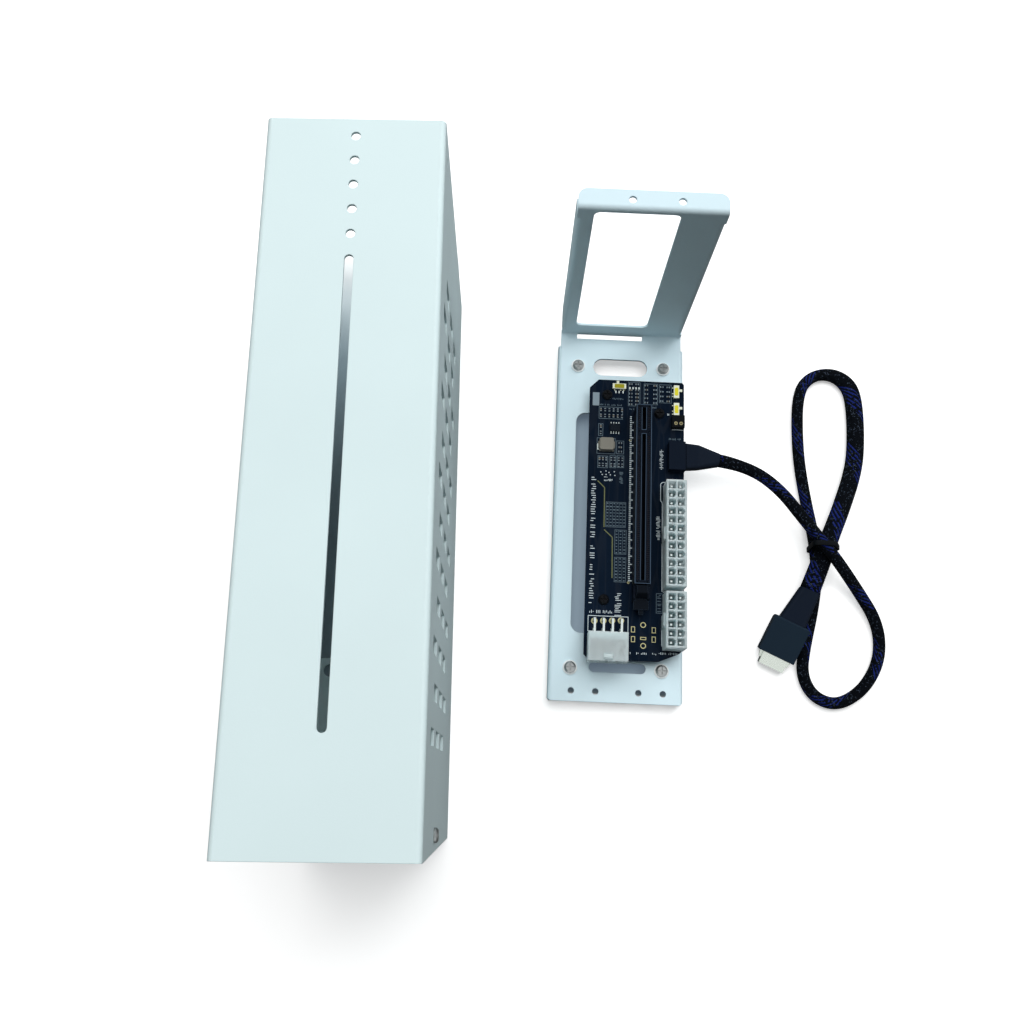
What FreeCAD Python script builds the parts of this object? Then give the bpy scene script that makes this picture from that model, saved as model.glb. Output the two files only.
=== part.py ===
import FreeCAD
import Part
import os
from math import atan2, cos, degrees, hypot, pi, radians, sin, tan

# External graphics card enclosure, shown taken apart: a folded sheet cover that stands on its open
# underside, and beside it the tray with the card's upright, the dock board and the data cable.
# Millimetres. The floor is z = 0, +Y points to the upright's end, and the origin is on the floor at the
# middle of the cover and tray together.

V = FreeCAD.Vector
os.makedirs("parts", exist_ok=True)

# Clearances
touch_gap = 0.1          # between pieces that are fastened to each other and almost touch
running_gap = 0.05       # radial, a pin that turns in its hole
screw_clearance = 0.25   # radial, a screw's shank in a plain hole
thread_gap = 0.02        # radial, a screw's shank in its thread
slide_gap = 0.15         # a lever in its switch

# Cover
cover_length = 268.2
cover_width = 68.0
cover_height = 157.4
cover_sheet = 1.2
cover_bend = 0.9         # inside radius of the cover's folds
cover_yaw = 1.718        # degrees, as it stands beside the tray
cover_gap_x = 43.5       # clear floor from the cover's near right corner to the tray's side
cover_gap_y = 64.1       # how far that corner stands nearer than the tray's near end

top_hole_r = 1.8
top_hole_count = 5
top_hole_pitch = 10.25
top_hole_first = cover_length - 48.3    # from the near end to the nearest hole
top_slot_width = 3.4
top_slot_near = 39.9
top_slot_far = cover_length - 56.9

vent_columns = 12
vent_rows = 3
vent_width = 6.0
vent_height = 19.0
vent_pitch_z = 29.0
vent_first_y = 40.3
vent_last_y = cover_length - 52.2
vent_pitch_y = (vent_last_y - vent_first_y) / (vent_columns - 1)
vent_top_z = cover_height - 29.9        # middle of the highest vent in the first column
vent_stagger = 12.0      # how much lower every second column sits

side_hole_r = 1.75
far_hole_y = cover_length - 8.2
far_hole_z = cover_height - 15.4
near_hole_y = 6.0
near_hole_z = cover_height - 55.4

# Cover's front panel
panel_sheet = 1.2
panel_flange = 11.0
panel_lip = 82.0
panel_lip_hole_r = 3.0
panel_lip_hole_y = 76.0
panel_lip_hole_x = 24.5
panel_corner = 6.0
panel_corner_r = 1.2     # the face's top corners, clear of the cover's fold

# Tray, in its own frame: x from its middle line, y from its near end
sheet = 1.2
bend = 1.0               # inside radius of the tray's folds
foot_height = 7.0
tray_width = 64.0
tray_reach = 187.6       # near end to the upright's front face
tray_drop = 6.0          # how far the side flanges hang below the plate's top
flange_stop = 7.5        # the side flanges end this far before the upright
near_corner = 2.2

upright_width = 61.6
upright_height = 119.7   # from the plate's top to the top of the bracket flange
bracket_flange = 9.0     # depth of the bracket flange
flange_corner = 4.0
return_depth = 11.0      # the upright's side returns
return_low = 3.0         # from the plate's top
return_high = 111.5
return_corner = 5.0
window_left = -23.9
window_right = 11.9
window_low = 9.5         # from the plate's top
window_high = 116.6
window_corner = 3.0
tab_slot_left = -22.6
tab_slot_right = 10.9
tab_slot_depth = 3.0
bracket_hole_r = 1.6
bracket_hole_pitch = 20.32
bracket_hole_x = 1.5
bracket_hole_y = 4.5     # from the upright's front face

foot_screw_x = 21.7
foot_screw_near = 15.8
foot_screw_far = tray_reach - 18.2
end_hole_r = 1.5
end_hole_y = 5.0
end_hole_x = 0.8         # middle of both pairs
end_hole_pitches = (43.4, 20.32)
near_slot = (0.8, 16.4, 27.0, 4.8)     # middle x, middle y, length, width
far_slot = (-0.1, tray_reach - 18.3, 27.4, 9.0)
cable_slot_left = -21.9
cable_slot_right = -10.0
cable_slot_near = 32.4
cable_slot_far = tray_reach - 43.5
cable_slot_corner = 4.8

washer_r = 3.5
washer_height = 0.7
foot_r = 5.0
foot_taper = 0.8
foot_recess_depth = 3.0
foot_recess_r = 3.6
screw_r = 1.5
pan_head_r = 2.75
pan_head_height = 1.7
cross_half = 0.3         # half the width of a cross recess's arms
foot_screw_length = 8.0
nut_across = 5.5
nut_height = 2.2

# Dock board, in its own frame: x and y from its near left corner
board_width = 47.1
board_length = 140.1
board_thickness = 1.6
board_x = -15.9          # near left corner in the tray's frame
board_y = 19.3
standoff_height = 6.0
standoff_r = 2.75
board_screws = ((8.7, board_length - 8.2), (34.8, board_length - 16.9), (8.9, 28.3))
board_screw_length = 5.0
board_head_r = 2.5
board_chamfer = 4.4
board_small_chamfer = 2.3
board_round = 5.0

# Card slot, x16
slot_x = 25.9
slot_near = board_length - 105.5
slot_length = 89.0
slot_width = 7.5
slot_height = 11.25
slot_mouth = 1.9
slot_depth = 8.4
slot_key = slot_near + 74.9             # middle of the key
key_width = 1.75
contact_pitch = 1.0
contact_near_count = 71
contact_far_count = 11
contact_wide = 0.6
contact_deep = 0.85
contact_window = 1.15
contact_offset = 2.35    # from the slot's middle line to the middle of a window
key_margin = 1.6         # from the key's edge to the first contact's middle
slot_end_pocket = 0.8
slot_end_wall = 1.6
ear_length = 7.0
ear_thick = 0.95
ear_height = 8.2

# Card latch
pivot_back = 4.6         # from the slot's near end
pivot_height = 5.6       # above the board
pivot_r = 0.8
latch_side_gap = 0.2

# Power headers
pitch = 4.2
pin_square = 1.0
header_height = 12.8
cavity = 3.45
cavity_depth = 10.0
cavity_chamfer = 1.0
header_width = 9.6
header_end = 2.7         # from the last pin's middle to the housing's end
header_pins_x = (39.5, 39.5 + pitch)
headers_middle = 45.335  # board y midway between the two headers' outermost pin rows
headers_apart = 7.73     # between the headers' nearest pin rows
main_header_rows = 12
second_header_rows = 6
headers_span = (main_header_rows + second_header_rows - 2) * pitch + headers_apart
main_header_far = headers_middle + headers_span / 2     # board y of the farthest pin row
second_header_far = main_header_far - (main_header_rows - 1) * pitch - headers_apart
latch_rib = (0.95, 6.2, 10.6)          # how far out, how long, how high
pin_tip_below = 3.0
pin_under_board = 1.2

card_header_x = 10.7
card_header_width = 18.5
card_header_near = -1.7
card_header_deep = 13.5
card_header_height = 9.6
card_header_columns = 4
card_pad_y = (18.3, 13.9)

# Data socket and plug
socket_left = 39.0
socket_y = (main_header_far + board_length - 22.7) / 2
socket_width = 14.4
socket_height = 5.4
socket_wall = 0.5
socket_back = 1.2

# Small parts
switch_body = (6.7, 2.7, 1.4)
switch_lever = (1.3, 1.5, 0.8)
switch_travel = 1.5
switch_places = ((14.6, board_length - 3.6, 90.0), (43.2, board_length - 5.3, 0.0),
                 (43.2, board_length - 14.65, 0.0))
coil_place = (8.8, board_length - 34.6)
coil_size = (7.0, 6.5, 3.0)
coil_step = 0.7
chip_place = (12.8, board_length - 25.5)
chip_size = (4.9, 3.9, 1.5)
chip_lead = (0.45, 1.05, 0.25)
chip_pitch = 1.27
fan_place = (43.9, board_length - 21.5)
fan_size = (6.2, 6.2, 3.2)
fan_pitch = 2.54
fan_contact_r = 0.85
fan_bore_r = 0.45

small_part = (1.6, 0.8, 0.45)           # length, width, height
small_end = 0.3                         # length of each soldered end
small_part_groups = (                   # first x and y, then the pitches
    (20.4, board_length - 12.7, 3.2, 1.9), (20.4, board_length - 1.9, 3.2, 1.9),
    (28.2, board_length - 11.5, 4.4, 2.3), (35.9, board_length - 10.3, 3.3, 2.5),
    (5.7, board_length - 19.2, 2.1, 3.1), (15.6, board_length - 37.7, 1.0, 2.2),
    (5.5, board_length - 44.8, 1.65, 3.1), (11.3, board_length - 44.8, 1.6, 3.1),
    (15.0, board_length - 44.8, 1.7, 3.1), (5.8, board_length - 28.2, 1.0, 3.3))
small_part_counts = (                   # columns, rows, turned in degrees
    (2, 5, 0), (2, 1, 0), (2, 5, 0), (2, 4, 0), (6, 2, 90),
    (1, 3, 0), (3, 2, 90), (2, 2, 90), (2, 2, 90), (1, 2, 90))

# Cable and its far plug, in the tray's frame
cable_r = 2.65
cable_end_width = 10.2
boot_width = 13.2
boot_end_width = 6.8
boot_thick = 5.8
boot_neck = 6.0          # where the board end's boot starts to narrow
far_plug_at = (84.2, 41.9, 9.4)
far_plug_heading = -114.1
far_plug_pitch = 16.5
far_plug_body = (18.2, 17.9, 7.0)
far_plug_corner = 1.4
far_plug_nose = (6.0, 12.4, 4.6)
nose_wall = 0.4
tie_at = (100.0, 78.1)
tie_inside = (13.6, 18.2)
tie_low = 0.2
tie_thick = 0.8
tie_wide = 2.4
cable_route = [
    (47.6, board_y + socket_y - 1.0, 18.5), (61.1, 116.7, 17.4), (77.2, 107.1, 16.2), (91.0, 89.1, 16.2),
    (103.6, 73.5, 16.2), (117.0, 60.1, 6.0), (126.8, 44.1, 2.75), (128.2, 28.1, 2.75),
    (122.2, 13.7, 2.75), (112.0, 4.9, 2.75), (102.5, 3.7, 2.75), (94.0, 8.2, 2.75),
    (89.8, 16.8, 2.75), (93.2, 35.1, 2.75), (97.0, 51.1, 2.75), (99.2, 69.1, 3.8),
    (98.4, 85.1, 3.8), (95.2, 105.1, 2.75), (91.6, 126.1, 2.75), (90.8, 148.6, 2.75),
    (92.5, 164.1, 2.75), (98.2, 171.1, 2.75), (106.7, 173.9, 2.75), (115.2, 171.4, 2.75),
    (120.9, 164.5, 2.75), (123.2, 154.0, 2.75), (122.6, 140.0, 2.75), (120.0, 122.1, 3.2),
    (111.2, 100.1, 7.6), (103.2, 82.7, 10.0), (97.8, 69.1, 10.0), (93.0, 57.3, 9.4)]

plate_top = foot_height + sheet
board_under = plate_top + standoff_height
board_top = board_under + board_thickness


# Helpers

def in_plane(plane, a, b, level):
    if plane == "xy":
        return V(a, b, level)
    if plane == "xz":
        return V(a, level, b)
    return V(level, a, b)


def outline(plane, corners, level):
    """Flat face from corners (a, b) or (a, b, radius), in the order they are walked."""
    before, after, middles = [], [], []
    count = len(corners)
    for i, corner in enumerate(corners):
        a, b = corner[0], corner[1]
        radius = corner[2] if len(corner) > 2 else 0.0
        pa, pb = corners[i - 1][0] - a, corners[i - 1][1] - b
        na, nb = corners[(i + 1) % count][0] - a, corners[(i + 1) % count][1] - b
        pl, nl = hypot(pa, pb), hypot(na, nb)
        ua, ub, wa, wb = pa / pl, pb / pl, na / nl, nb / nl
        if not radius:
            before.append((a, b))
            after.append((a, b))
            middles.append(None)
            continue
        half = abs(atan2(ua * wb - ub * wa, ua * wa + ub * wb)) / 2
        back = radius / tan(half)
        before.append((a + ua * back, b + ub * back))
        after.append((a + wa * back, b + wb * back))
        ma, mb = ua + wa, ub + wb
        ml = hypot(ma, mb)
        reach = radius / sin(half) - radius
        middles.append((a + ma / ml * reach, b + mb / ml * reach))
    edges = []
    for i in range(count):
        start, end = after[i - 1], before[i]
        if hypot(start[0] - end[0], start[1] - end[1]) > 1e-4:
            first, last = in_plane(plane, *start, level), in_plane(plane, *end, level)
            edges.append(Part.LineSegment(first, last).toShape())
        if middles[i]:
            points = [in_plane(plane, *p, level) for p in (before[i], middles[i], after[i])]
            edges.append(Part.Arc(*points).toShape())
    return Part.Face(Part.Wire(Part.__sortEdges__(edges)))


def prism(plane, corners, start, end):
    along = {"xy": V(0, 0, end - start), "xz": V(0, end - start, 0), "yz": V(end - start, 0, 0)}[plane]
    return outline(plane, corners, start).extrude(along)


def rectangle(a, b, width, height, radius=0.0):
    half_w, half_h = width / 2, height / 2
    signs = ((-1, -1), (1, -1), (1, 1), (-1, 1))
    return [(a + sa * half_w, b + sb * half_h, radius) for sa, sb in signs]


def slot_corners(a, b, width, height):
    return rectangle(a, b, width, height, min(width, height) / 2 - 1e-3)


def box(x0, x1, y0, y1, z0, z1):
    return Part.makeBox(x1 - x0, y1 - y0, z1 - z0, V(x0, y0, z0))


def upright(r, x, y, z0, z1):
    return Part.makeCylinder(r, z1 - z0, V(x, y, z0))


def across(r, x0, x1, y, z):
    return Part.makeCylinder(r, x1 - x0, V(x0, y, z), V(1, 0, 0))


def fuse(shapes):
    first, rest = shapes[0], shapes[1:]
    return first.fuse(rest).removeSplitter() if rest else first


def cut(shape, tools):
    return shape.cut(tools)


def group(shapes):
    return Part.makeCompound(shapes)


def moved(shape, x, y, z=0.0, turn=0.0):
    placed = shape.copy()
    if turn:
        placed.rotate(V(0, 0, 0), V(0, 0, 1), turn)
    placed.translate(V(x, y, z))
    return placed


def folded_channel(width, height, thick, radius, start, end):
    """A sheet folded down along both long sides, its top at z = height."""
    half = width / 2
    inner, top = half - thick, height - thick
    corners = [(-half, 0), (-half, height, radius + thick), (half, height, radius + thick), (half, 0),
               (inner, 0), (inner, top, radius), (-inner, top, radius), (-inner, 0)]
    return prism("xz", corners, start, end)


def pan_screw(length, head_r, z_seat):
    """A pan head screw pointing down, its head's underside at z_seat."""
    top = z_seat + pan_head_height
    crown = pan_head_height * 0.4
    rim = upright(head_r, 0, 0, z_seat, top - crown)
    head = rim.fuse(Part.makeCone(head_r, head_r * 0.72, crown, V(0, 0, top - crown)))
    arm, depth = head_r * 0.62, 0.9
    recess = [box(-arm, arm, -cross_half, cross_half, top - depth, top + 1),
              box(-cross_half, cross_half, -arm, arm, top - depth, top + 1)]
    shank = upright(screw_r, 0, 0, z_seat - length, z_seat)
    return fuse([head.cut(recess), shank])


# Cover, in its own frame: x from its middle line, y from its near end

def side_holes(x_from, x_to, radius):
    places = ((far_hole_y, far_hole_z), (near_hole_y, near_hole_z))
    return [across(radius, x_from, x_to, y, z) for y, z in places]


def vents(x_from, x_to):
    """Staggered columns of upright openings through both side walls."""
    cutters = []
    for column in range(vent_columns):
        y = vent_first_y + column * vent_pitch_y
        for row in range(vent_rows):
            z = vent_top_z - row * vent_pitch_z - (column % 2) * vent_stagger
            half_y, half_z = vent_width / 2, vent_height / 2
            cutters.append(box(x_from, x_to, y - half_y, y + half_y, z - half_z, z + half_z))
    return cutters


def make_cover():
    half = cover_width / 2
    shell = folded_channel(cover_width, cover_height, cover_sheet, cover_bend, 0, cover_length)
    below, above = cover_height - 2 * cover_sheet, cover_height + 1
    tools = vents(-half - 1, half + 1) + side_holes(-half - 1, half + 1, side_hole_r)
    for i in range(top_hole_count):
        tools.append(upright(top_hole_r, 0, top_hole_first + i * top_hole_pitch, below, above))
    middle, long = (top_slot_near + top_slot_far) / 2, top_slot_far - top_slot_near
    tools.append(prism("xy", slot_corners(0, middle, top_slot_width, long), below, above))
    return cut(shell, tools)


def make_front_panel():
    """Front wall with side flanges and a long bottom lip that laps the tray."""
    inside = cover_width / 2 - cover_sheet - touch_gap
    top = cover_height - cover_sheet - touch_gap
    s, r_in = panel_sheet, cover_bend
    walls = [(-inside, panel_flange), (-inside, 0, r_in + s), (inside, 0, r_in + s), (inside, panel_flange),
             (inside - s, panel_flange), (inside - s, s, r_in),
             (-inside + s, s, r_in), (-inside + s, panel_flange)]
    fold = r_in + s
    wrap = prism("xy", walls, fold + 1.0, top)
    face_shape = [(-inside, 0), (inside, 0), (inside, top, panel_corner_r), (-inside, top, panel_corner_r)]
    wrap = wrap.common(prism("xz", face_shape, -1, panel_flange + 1))
    side = [(0, s + r_in + 1.0), (0, 0, fold), (panel_lip, 0), (panel_lip, s),
            (s, s, r_in), (s, s + r_in + 1.0)]
    lip = prism("yz", side, -inside + fold, inside - fold)
    corners = [(-inside, 0), (inside, 0),
               (inside, panel_lip, panel_corner), (-inside, panel_lip, panel_corner)]
    floor_area = prism("xy", corners, -1, fold + 2)
    lip = lip.common(floor_area)
    panel = fuse([wrap, lip])
    hole = upright(panel_lip_hole_r, -panel_lip_hole_x, panel_lip_hole_y, -1, s + 1)
    screws = across(screw_r + thread_gap, -inside - 1, inside + 1, near_hole_y, near_hole_z)
    return cut(panel, [hole, screws])


def make_front_screws():
    screws = []
    for side in (-1, 1):
        screw = pan_screw(4.0, pan_head_r, 0)
        screw.rotate(V(0, 0, 0), V(0, 1, 0), 90 * side)
        screw.translate(V(side * (cover_width / 2), near_hole_y, near_hole_z))
        screws.append(screw)
    return group(screws)


# Tray

def tray_plan():
    corners = [(-tray_width / 2, 0, near_corner), (tray_width / 2, 0, near_corner),
               (tray_width / 2, tray_reach), (-tray_width / 2, tray_reach)]
    return prism("xy", corners, -1, plate_top + 1)


def make_channel():
    end = tray_reach - flange_stop
    drop = folded_channel(tray_width, tray_drop, sheet, bend, 0, end)
    drop.translate(V(0, 0, plate_top - tray_drop))
    return drop.common(tray_plan())


def make_upright():
    """The plate's end folded up, folded back again at the top, and with a side return on both edges."""
    start = tray_reach - flange_stop - 1.0
    low, front, back = foot_height, tray_reach, tray_reach + bracket_flange
    top = plate_top + upright_height
    outer = bend + sheet
    corners = [(start, low), (front + sheet, low, outer), (front + sheet, top - sheet, bend),
               (back, top - sheet), (back, top), (front, top, outer),
               (front, plate_top, bend), (start, plate_top)]
    half = upright_width / 2
    spine = prism("yz", corners, -half, half)
    low_return, high_return = plate_top + return_low, plate_top + return_high
    trims = []
    for side in (-1, 1):
        edge = sorted((side * (half - outer), side * (half + 1)))
        trims.append(box(edge[0], edge[1], front - 1, back + 1, low_return, high_return))
    spine = cut(spine, trims)
    rear = front + return_depth
    walls = [(-half, rear), (-half, front, outer), (half, front, outer), (half, rear),
             (half - sheet, rear), (half - sheet, front + sheet, bend),
             (-half + sheet, front + sheet, bend),
             (-half + sheet, rear)]
    returns = prism("xy", walls, low_return, high_return)
    side_shape = [(front - 1, low_return), (rear, low_return, return_corner),
                  (rear, high_return, return_corner),
                  (front - 1, high_return)]
    returns = returns.common(prism("yz", side_shape, -half - 1, half + 1))
    flange_plan = [(-half, start), (half, start), (half, back, flange_corner), (-half, back, flange_corner)]
    rounded = prism("xy", flange_plan, top - outer - 0.5, top + 1)
    spine_top = spine.common(rounded)
    spine_low = spine.common(box(-half, half, start, back + 1, low - 1, top - outer - 0.5))
    return fuse([spine_low, spine_top, returns])


def tray_cutters():
    low, high = foot_height - 1, plate_top + 1
    tools = []
    for pitch_x in end_hole_pitches:
        for side in (-1, 1):
            tools.append(upright(end_hole_r, end_hole_x + side * pitch_x / 2, end_hole_y, low, high))
    for x, y in foot_screw_places():
        tools.append(upright(screw_r + screw_clearance, x, y, low, high))
    for x, y, long, wide in (near_slot, far_slot):
        tools.append(prism("xy", slot_corners(x, y, long, wide), low, high))
    middle_x = (cable_slot_left + cable_slot_right) / 2
    middle_y = (cable_slot_near + cable_slot_far) / 2
    across_x, along_y = cable_slot_right - cable_slot_left, cable_slot_far - cable_slot_near
    side_slot = rectangle(middle_x, middle_y, across_x, along_y, cable_slot_corner)
    tools.append(prism("xy", side_slot, low, high))
    tab_near, tab_far = tray_reach - tab_slot_depth, tray_reach - 0.2
    tools.append(box(tab_slot_left, tab_slot_right, tab_near, tab_far, low, high))
    window = rectangle((window_left + window_right) / 2, plate_top + (window_low + window_high) / 2,
                       window_right - window_left, window_high - window_low, window_corner)
    tools.append(prism("xz", window, tray_reach - 1, tray_reach + sheet + 1))
    top = plate_top + upright_height
    for side in (-1, 1):
        x = bracket_hole_x + side * bracket_hole_pitch / 2
        tools.append(upright(bracket_hole_r, x, tray_reach + bracket_hole_y, top - sheet - 1, top + 1))
    for x, y in board_screws:
        tools.append(upright(screw_r + thread_gap, board_x + x, board_y + y, low, high))
    return tools


def foot_screw_places():
    return [(side * foot_screw_x, y) for side in (-1, 1) for y in (foot_screw_near, foot_screw_far)]


def make_tray():
    return cut(fuse([make_channel(), make_upright()]), tray_cutters())


def make_washer():
    ring = upright(washer_r, 0, 0, plate_top, plate_top + washer_height)
    return ring.cut(upright(screw_r + screw_clearance, 0, 0, plate_top - 1, plate_top + 2))


def make_foot():
    outer = Part.makeCone(foot_r - foot_taper, foot_r, foot_height - touch_gap)
    recess = upright(foot_recess_r, 0, 0, -1, foot_recess_depth)
    bore = upright(screw_r + screw_clearance, 0, 0, -1, foot_height + 1)
    return outer.cut([recess, bore])


def make_foot_nut():
    reach = nut_across / 2 / cos(radians(30))
    corners = [(reach * cos(radians(60 * i)), reach * sin(radians(60 * i))) for i in range(6)]
    seat = foot_recess_depth - touch_gap
    nut = prism("xy", corners, seat - nut_height, seat)
    return nut.cut(upright(screw_r + thread_gap, 0, 0, seat - nut_height - 1, seat + 1))


def at_feet(shape):
    return group([moved(shape, x, y) for x, y in foot_screw_places()])


# Board

def board_to_tray(shape):
    return moved(shape, board_x, board_y)


def make_standoff():
    post = upright(standoff_r, 0, 0, plate_top, board_under)
    return post.cut(upright(screw_r + thread_gap, 0, 0, plate_top - 1, board_under + 1))


def header_rows(far, rows):
    return [far - pitch * i for i in range(rows)]


def drilled_places():
    """Plated holes of both vertical headers."""
    rows = header_rows(main_header_far, main_header_rows)
    rows += header_rows(second_header_far, second_header_rows)
    return [(x, y) for x in header_pins_x for y in rows]


def card_header_pins_x():
    first = card_header_x - pitch * (card_header_columns - 1) / 2
    return [first + pitch * i for i in range(card_header_columns)]


def make_board():
    corners = [(0, board_small_chamfer), (board_small_chamfer, 0),
               (board_width - 2.4 * board_round, 0, board_round), (board_width, board_round, board_round),
               (board_width, board_length, 1.5), (board_chamfer, board_length),
               (0, board_length - board_chamfer)]
    plate = prism("xy", corners, board_under, board_top)
    low, high = board_under - 1, board_top + 1
    tools = [upright(screw_r + screw_clearance, x, y, low, high) for x, y in board_screws]
    half = pin_square / 2 + touch_gap
    places = drilled_places() + [(x, y) for x in card_header_pins_x() for y in card_pad_y]
    tools += [box(x - half, x + half, y - half, y + half, low, high) for x, y in places]
    return cut(plate, tools)


# Card slot

def contact_rows():
    """Board y of every contact, on both sides of the key."""
    first_near = slot_key - key_width / 2 - key_margin
    first_far = slot_key + key_width / 2 + key_margin
    near = [first_near - i * contact_pitch for i in range(contact_near_count)]
    far = [first_far + i * contact_pitch for i in range(contact_far_count)]
    return near + far


def make_slot_housing():
    half = slot_width / 2
    low, high = board_top, board_top + slot_height
    far = slot_near + slot_length
    body = box(slot_x - half, slot_x + half, slot_near, far, low, high)
    mouth = slot_mouth / 2
    deep = high - slot_depth
    wall = slot_end_wall
    left, right = slot_x - mouth, slot_x + mouth
    key_near, key_far = slot_key - key_width / 2, slot_key + key_width / 2
    tools = [box(left, right, slot_near + wall, key_near, deep, high + 1),
             box(left, right, key_far, far - wall, deep, high + 1)]
    window = contact_window / 2
    for side in (-1, 1):
        x = slot_x + side * contact_offset
        for y in contact_rows():
            tools.append(box(x - window, x + window, y - contact_wide / 2, y + contact_wide / 2,
                             high - contact_deep, high + 1))
        for y in (slot_near + wall / 2, slot_key, far - wall / 2):
            pocket = slot_end_pocket / 2
            tools.append(box(x - pocket, x + pocket, y - pocket, y + pocket, high - 1.2, high + 1))
    body = cut(body, tools)
    ears = []
    pivot_y, pivot_z = slot_near - pivot_back, board_top + pivot_height
    for side in (-1, 1):
        inner, outer = side * (half - ear_thick), side * half
        x0, x1 = sorted((slot_x + inner, slot_x + outer))
        tip, ear_top = slot_near - ear_length, low + ear_height
        corners = [(slot_near + 0.5, low), (tip, low), (tip, ear_top, 1.5), (slot_near + 0.5, ear_top)]
        ear = prism("yz", corners, x0, x1)
        ears.append(ear.cut(across(pivot_r + running_gap, x0 - 1, x1 + 1, pivot_y, pivot_z)))
    return fuse([body] + ears)


def make_slot_contacts():
    """Sprung contact tips, one at the bottom of each window."""
    tips = []
    high = board_top + slot_height
    half_x, half_y = contact_window / 2 - touch_gap, contact_wide / 2 - touch_gap
    seat = high - contact_deep
    for side in (-1, 1):
        x = slot_x + side * contact_offset
        for y in contact_rows():
            tips.append(box(x - half_x, x + half_x, y - half_y, y + half_y, seat, seat + 0.35))
    return group(tips)


def make_latch():
    """Lever between the slot's ears: a hook that holds the card and a thumb tail, on its own pivot pins."""
    y, z = slot_near - pivot_back, board_top + pivot_height
    half = slot_width / 2 - ear_thick - latch_side_gap
    top = board_top + slot_height - 0.4
    hook = [(y + 1.6, z - 1.8), (y + 1.6, z + 1.2),
            (slot_near - 0.4, top - 2.2), (slot_near - 0.4, top, 0.6),
            (y + 0.4, top, 0.8), (y - 1.7, z + 1.4), (y - 1.7, z - 1.8)]
    body = prism("yz", hook, slot_x - half, slot_x + half)
    shoulder_y = slot_near - ear_length - latch_side_gap
    arm = box(slot_x - half, slot_x + half, shoulder_y - 0.1, y, z - 1.4, z + 0.9)
    wide = slot_width / 2 - 0.2
    shoulder_side = [(shoulder_y, z + 0.9), (shoulder_y - 4.2, z + 0.9), (shoulder_y - 4.2, z - 1.4),
                     (shoulder_y - 0.75, z - 1.4)]
    shoulder = prism("yz", shoulder_side, slot_x - wide, slot_x + wide)
    tail = box(slot_x - 1.1, slot_x + 1.1, shoulder_y - 6.4, shoulder_y - 4.0, z - 1.4, z + 0.2)
    pins = across(pivot_r, slot_x - slot_width / 2 + 0.1, slot_x + slot_width / 2 - 0.1, y, z)
    return fuse([body, arm, shoulder, tail, pins])


# Power headers

def cavity_cutter(x, y, keyed, low, high):
    """Socket round one pin: square, or with two corners taken off where it is keyed."""
    half = cavity / 2
    corners = [(x - half, y - half), (x + half, y - half), (x + half, y + half), (x - half, y + half)]
    if keyed:
        c = cavity_chamfer
        corners = [(x - half, y - half), (x + half - c, y - half), (x + half, y - half + c),
                   (x + half, y + half - c), (x + half - c, y + half), (x - half, y + half)]
    return prism("xy", corners, low, high)


def make_header(far, rows):
    """Upright power header: moulded block, a keyed socket round each pin, and a latch rib on its left."""
    low, high = board_top, board_top + header_height
    middle = sum(header_pins_x) / 2
    near = far - pitch * (rows - 1)
    half = header_width / 2
    body = box(middle - half, middle + half, near - header_end, far + header_end, low, high)
    out, long, tall = latch_rib
    rib_y = (near + far) / 2
    rib_corners = [(middle - half + 0.2, low), (middle - half - out * 0.55, low),
                   (middle - half - out * 0.55, low + tall - 2.6), (middle - half - out, low + tall - 1.4),
                   (middle - half - out, low + tall), (middle - half + 0.2, low + tall)]
    rib = prism("xz", rib_corners, rib_y - long / 2, rib_y + long / 2)
    tools = []
    floor = high - cavity_depth
    hole = pin_square / 2 + 0.05
    for column, x in enumerate(header_pins_x):
        for row, y in enumerate(header_rows(far, rows)):
            keyed = (row + column * 2) % 4 in (1, 2)
            tools.append(cavity_cutter(x, y, keyed, floor, high + 1))
            tools.append(box(x - hole, x + hole, y - hole, y + hole, low - 1, floor + 1))
    return cut(fuse([body, rib]), tools)


def make_header_pins(far, rows):
    pins = []
    half = pin_square / 2
    top = board_top + header_height - pin_tip_below
    for x in header_pins_x:
        for y in header_rows(far, rows):
            pins.append(box(x - half, x + half, y - half, y + half, board_under - pin_under_board, top))
    return group(pins)


def card_header_levels():
    middle = board_top + card_header_height / 2
    return [middle + pitch / 2, middle - pitch / 2]


def make_card_header():
    """Right-angle header: its sockets open toward the board's near edge."""
    half = card_header_width / 2
    near, far = card_header_near, card_header_near + card_header_deep
    low, high = board_top, board_top + card_header_height
    body = box(card_header_x - half, card_header_x + half, near, far, low, high)
    ramp = [(near, high - 0.1), (near + 3.6, high - 0.1), (near + 3.6, high + 0.1),
            (near + 2.6, high + 1.0), (near + 1.4, high + 1.0), (near + 0.6, high + 0.1)]
    key = prism("yz", ramp, card_header_x - 2.0, card_header_x + 2.0)
    tools = []
    half_c, hole = cavity / 2, pin_square / 2 + 0.05
    for column, x in enumerate(card_header_pins_x()):
        for level in card_header_levels():
            square = rectangle(x, level, 2 * half_c, 2 * half_c)
            if column % 2:
                square = rectangle(x, level, 2 * half_c, 2 * half_c, 0.7)
            tools.append(prism("xz", square, near - 1, near + cavity_depth))
            tools.append(box(x - hole, x + hole, near, far + 1, level - hole, level + hole))
    return cut(fuse([body, key]), tools)


def make_card_pins():
    """Square pins that run back out of the header and bend down into the board."""
    pins = []
    half = pin_square / 2
    tip = card_header_near + pin_tip_below
    bottom = board_under - pin_under_board
    for x in card_header_pins_x():
        for level, pad in zip(card_header_levels(), card_pad_y):
            corners = [(tip, level - half), (pad - half, level - half, 0.3), (pad - half, bottom),
                       (pad + half, bottom), (pad + half, level + half, 1.0), (tip, level + half)]
            pins.append(prism("yz", corners, x - half, x + half))
    return group(pins)


# Data socket, plug and cable

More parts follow.
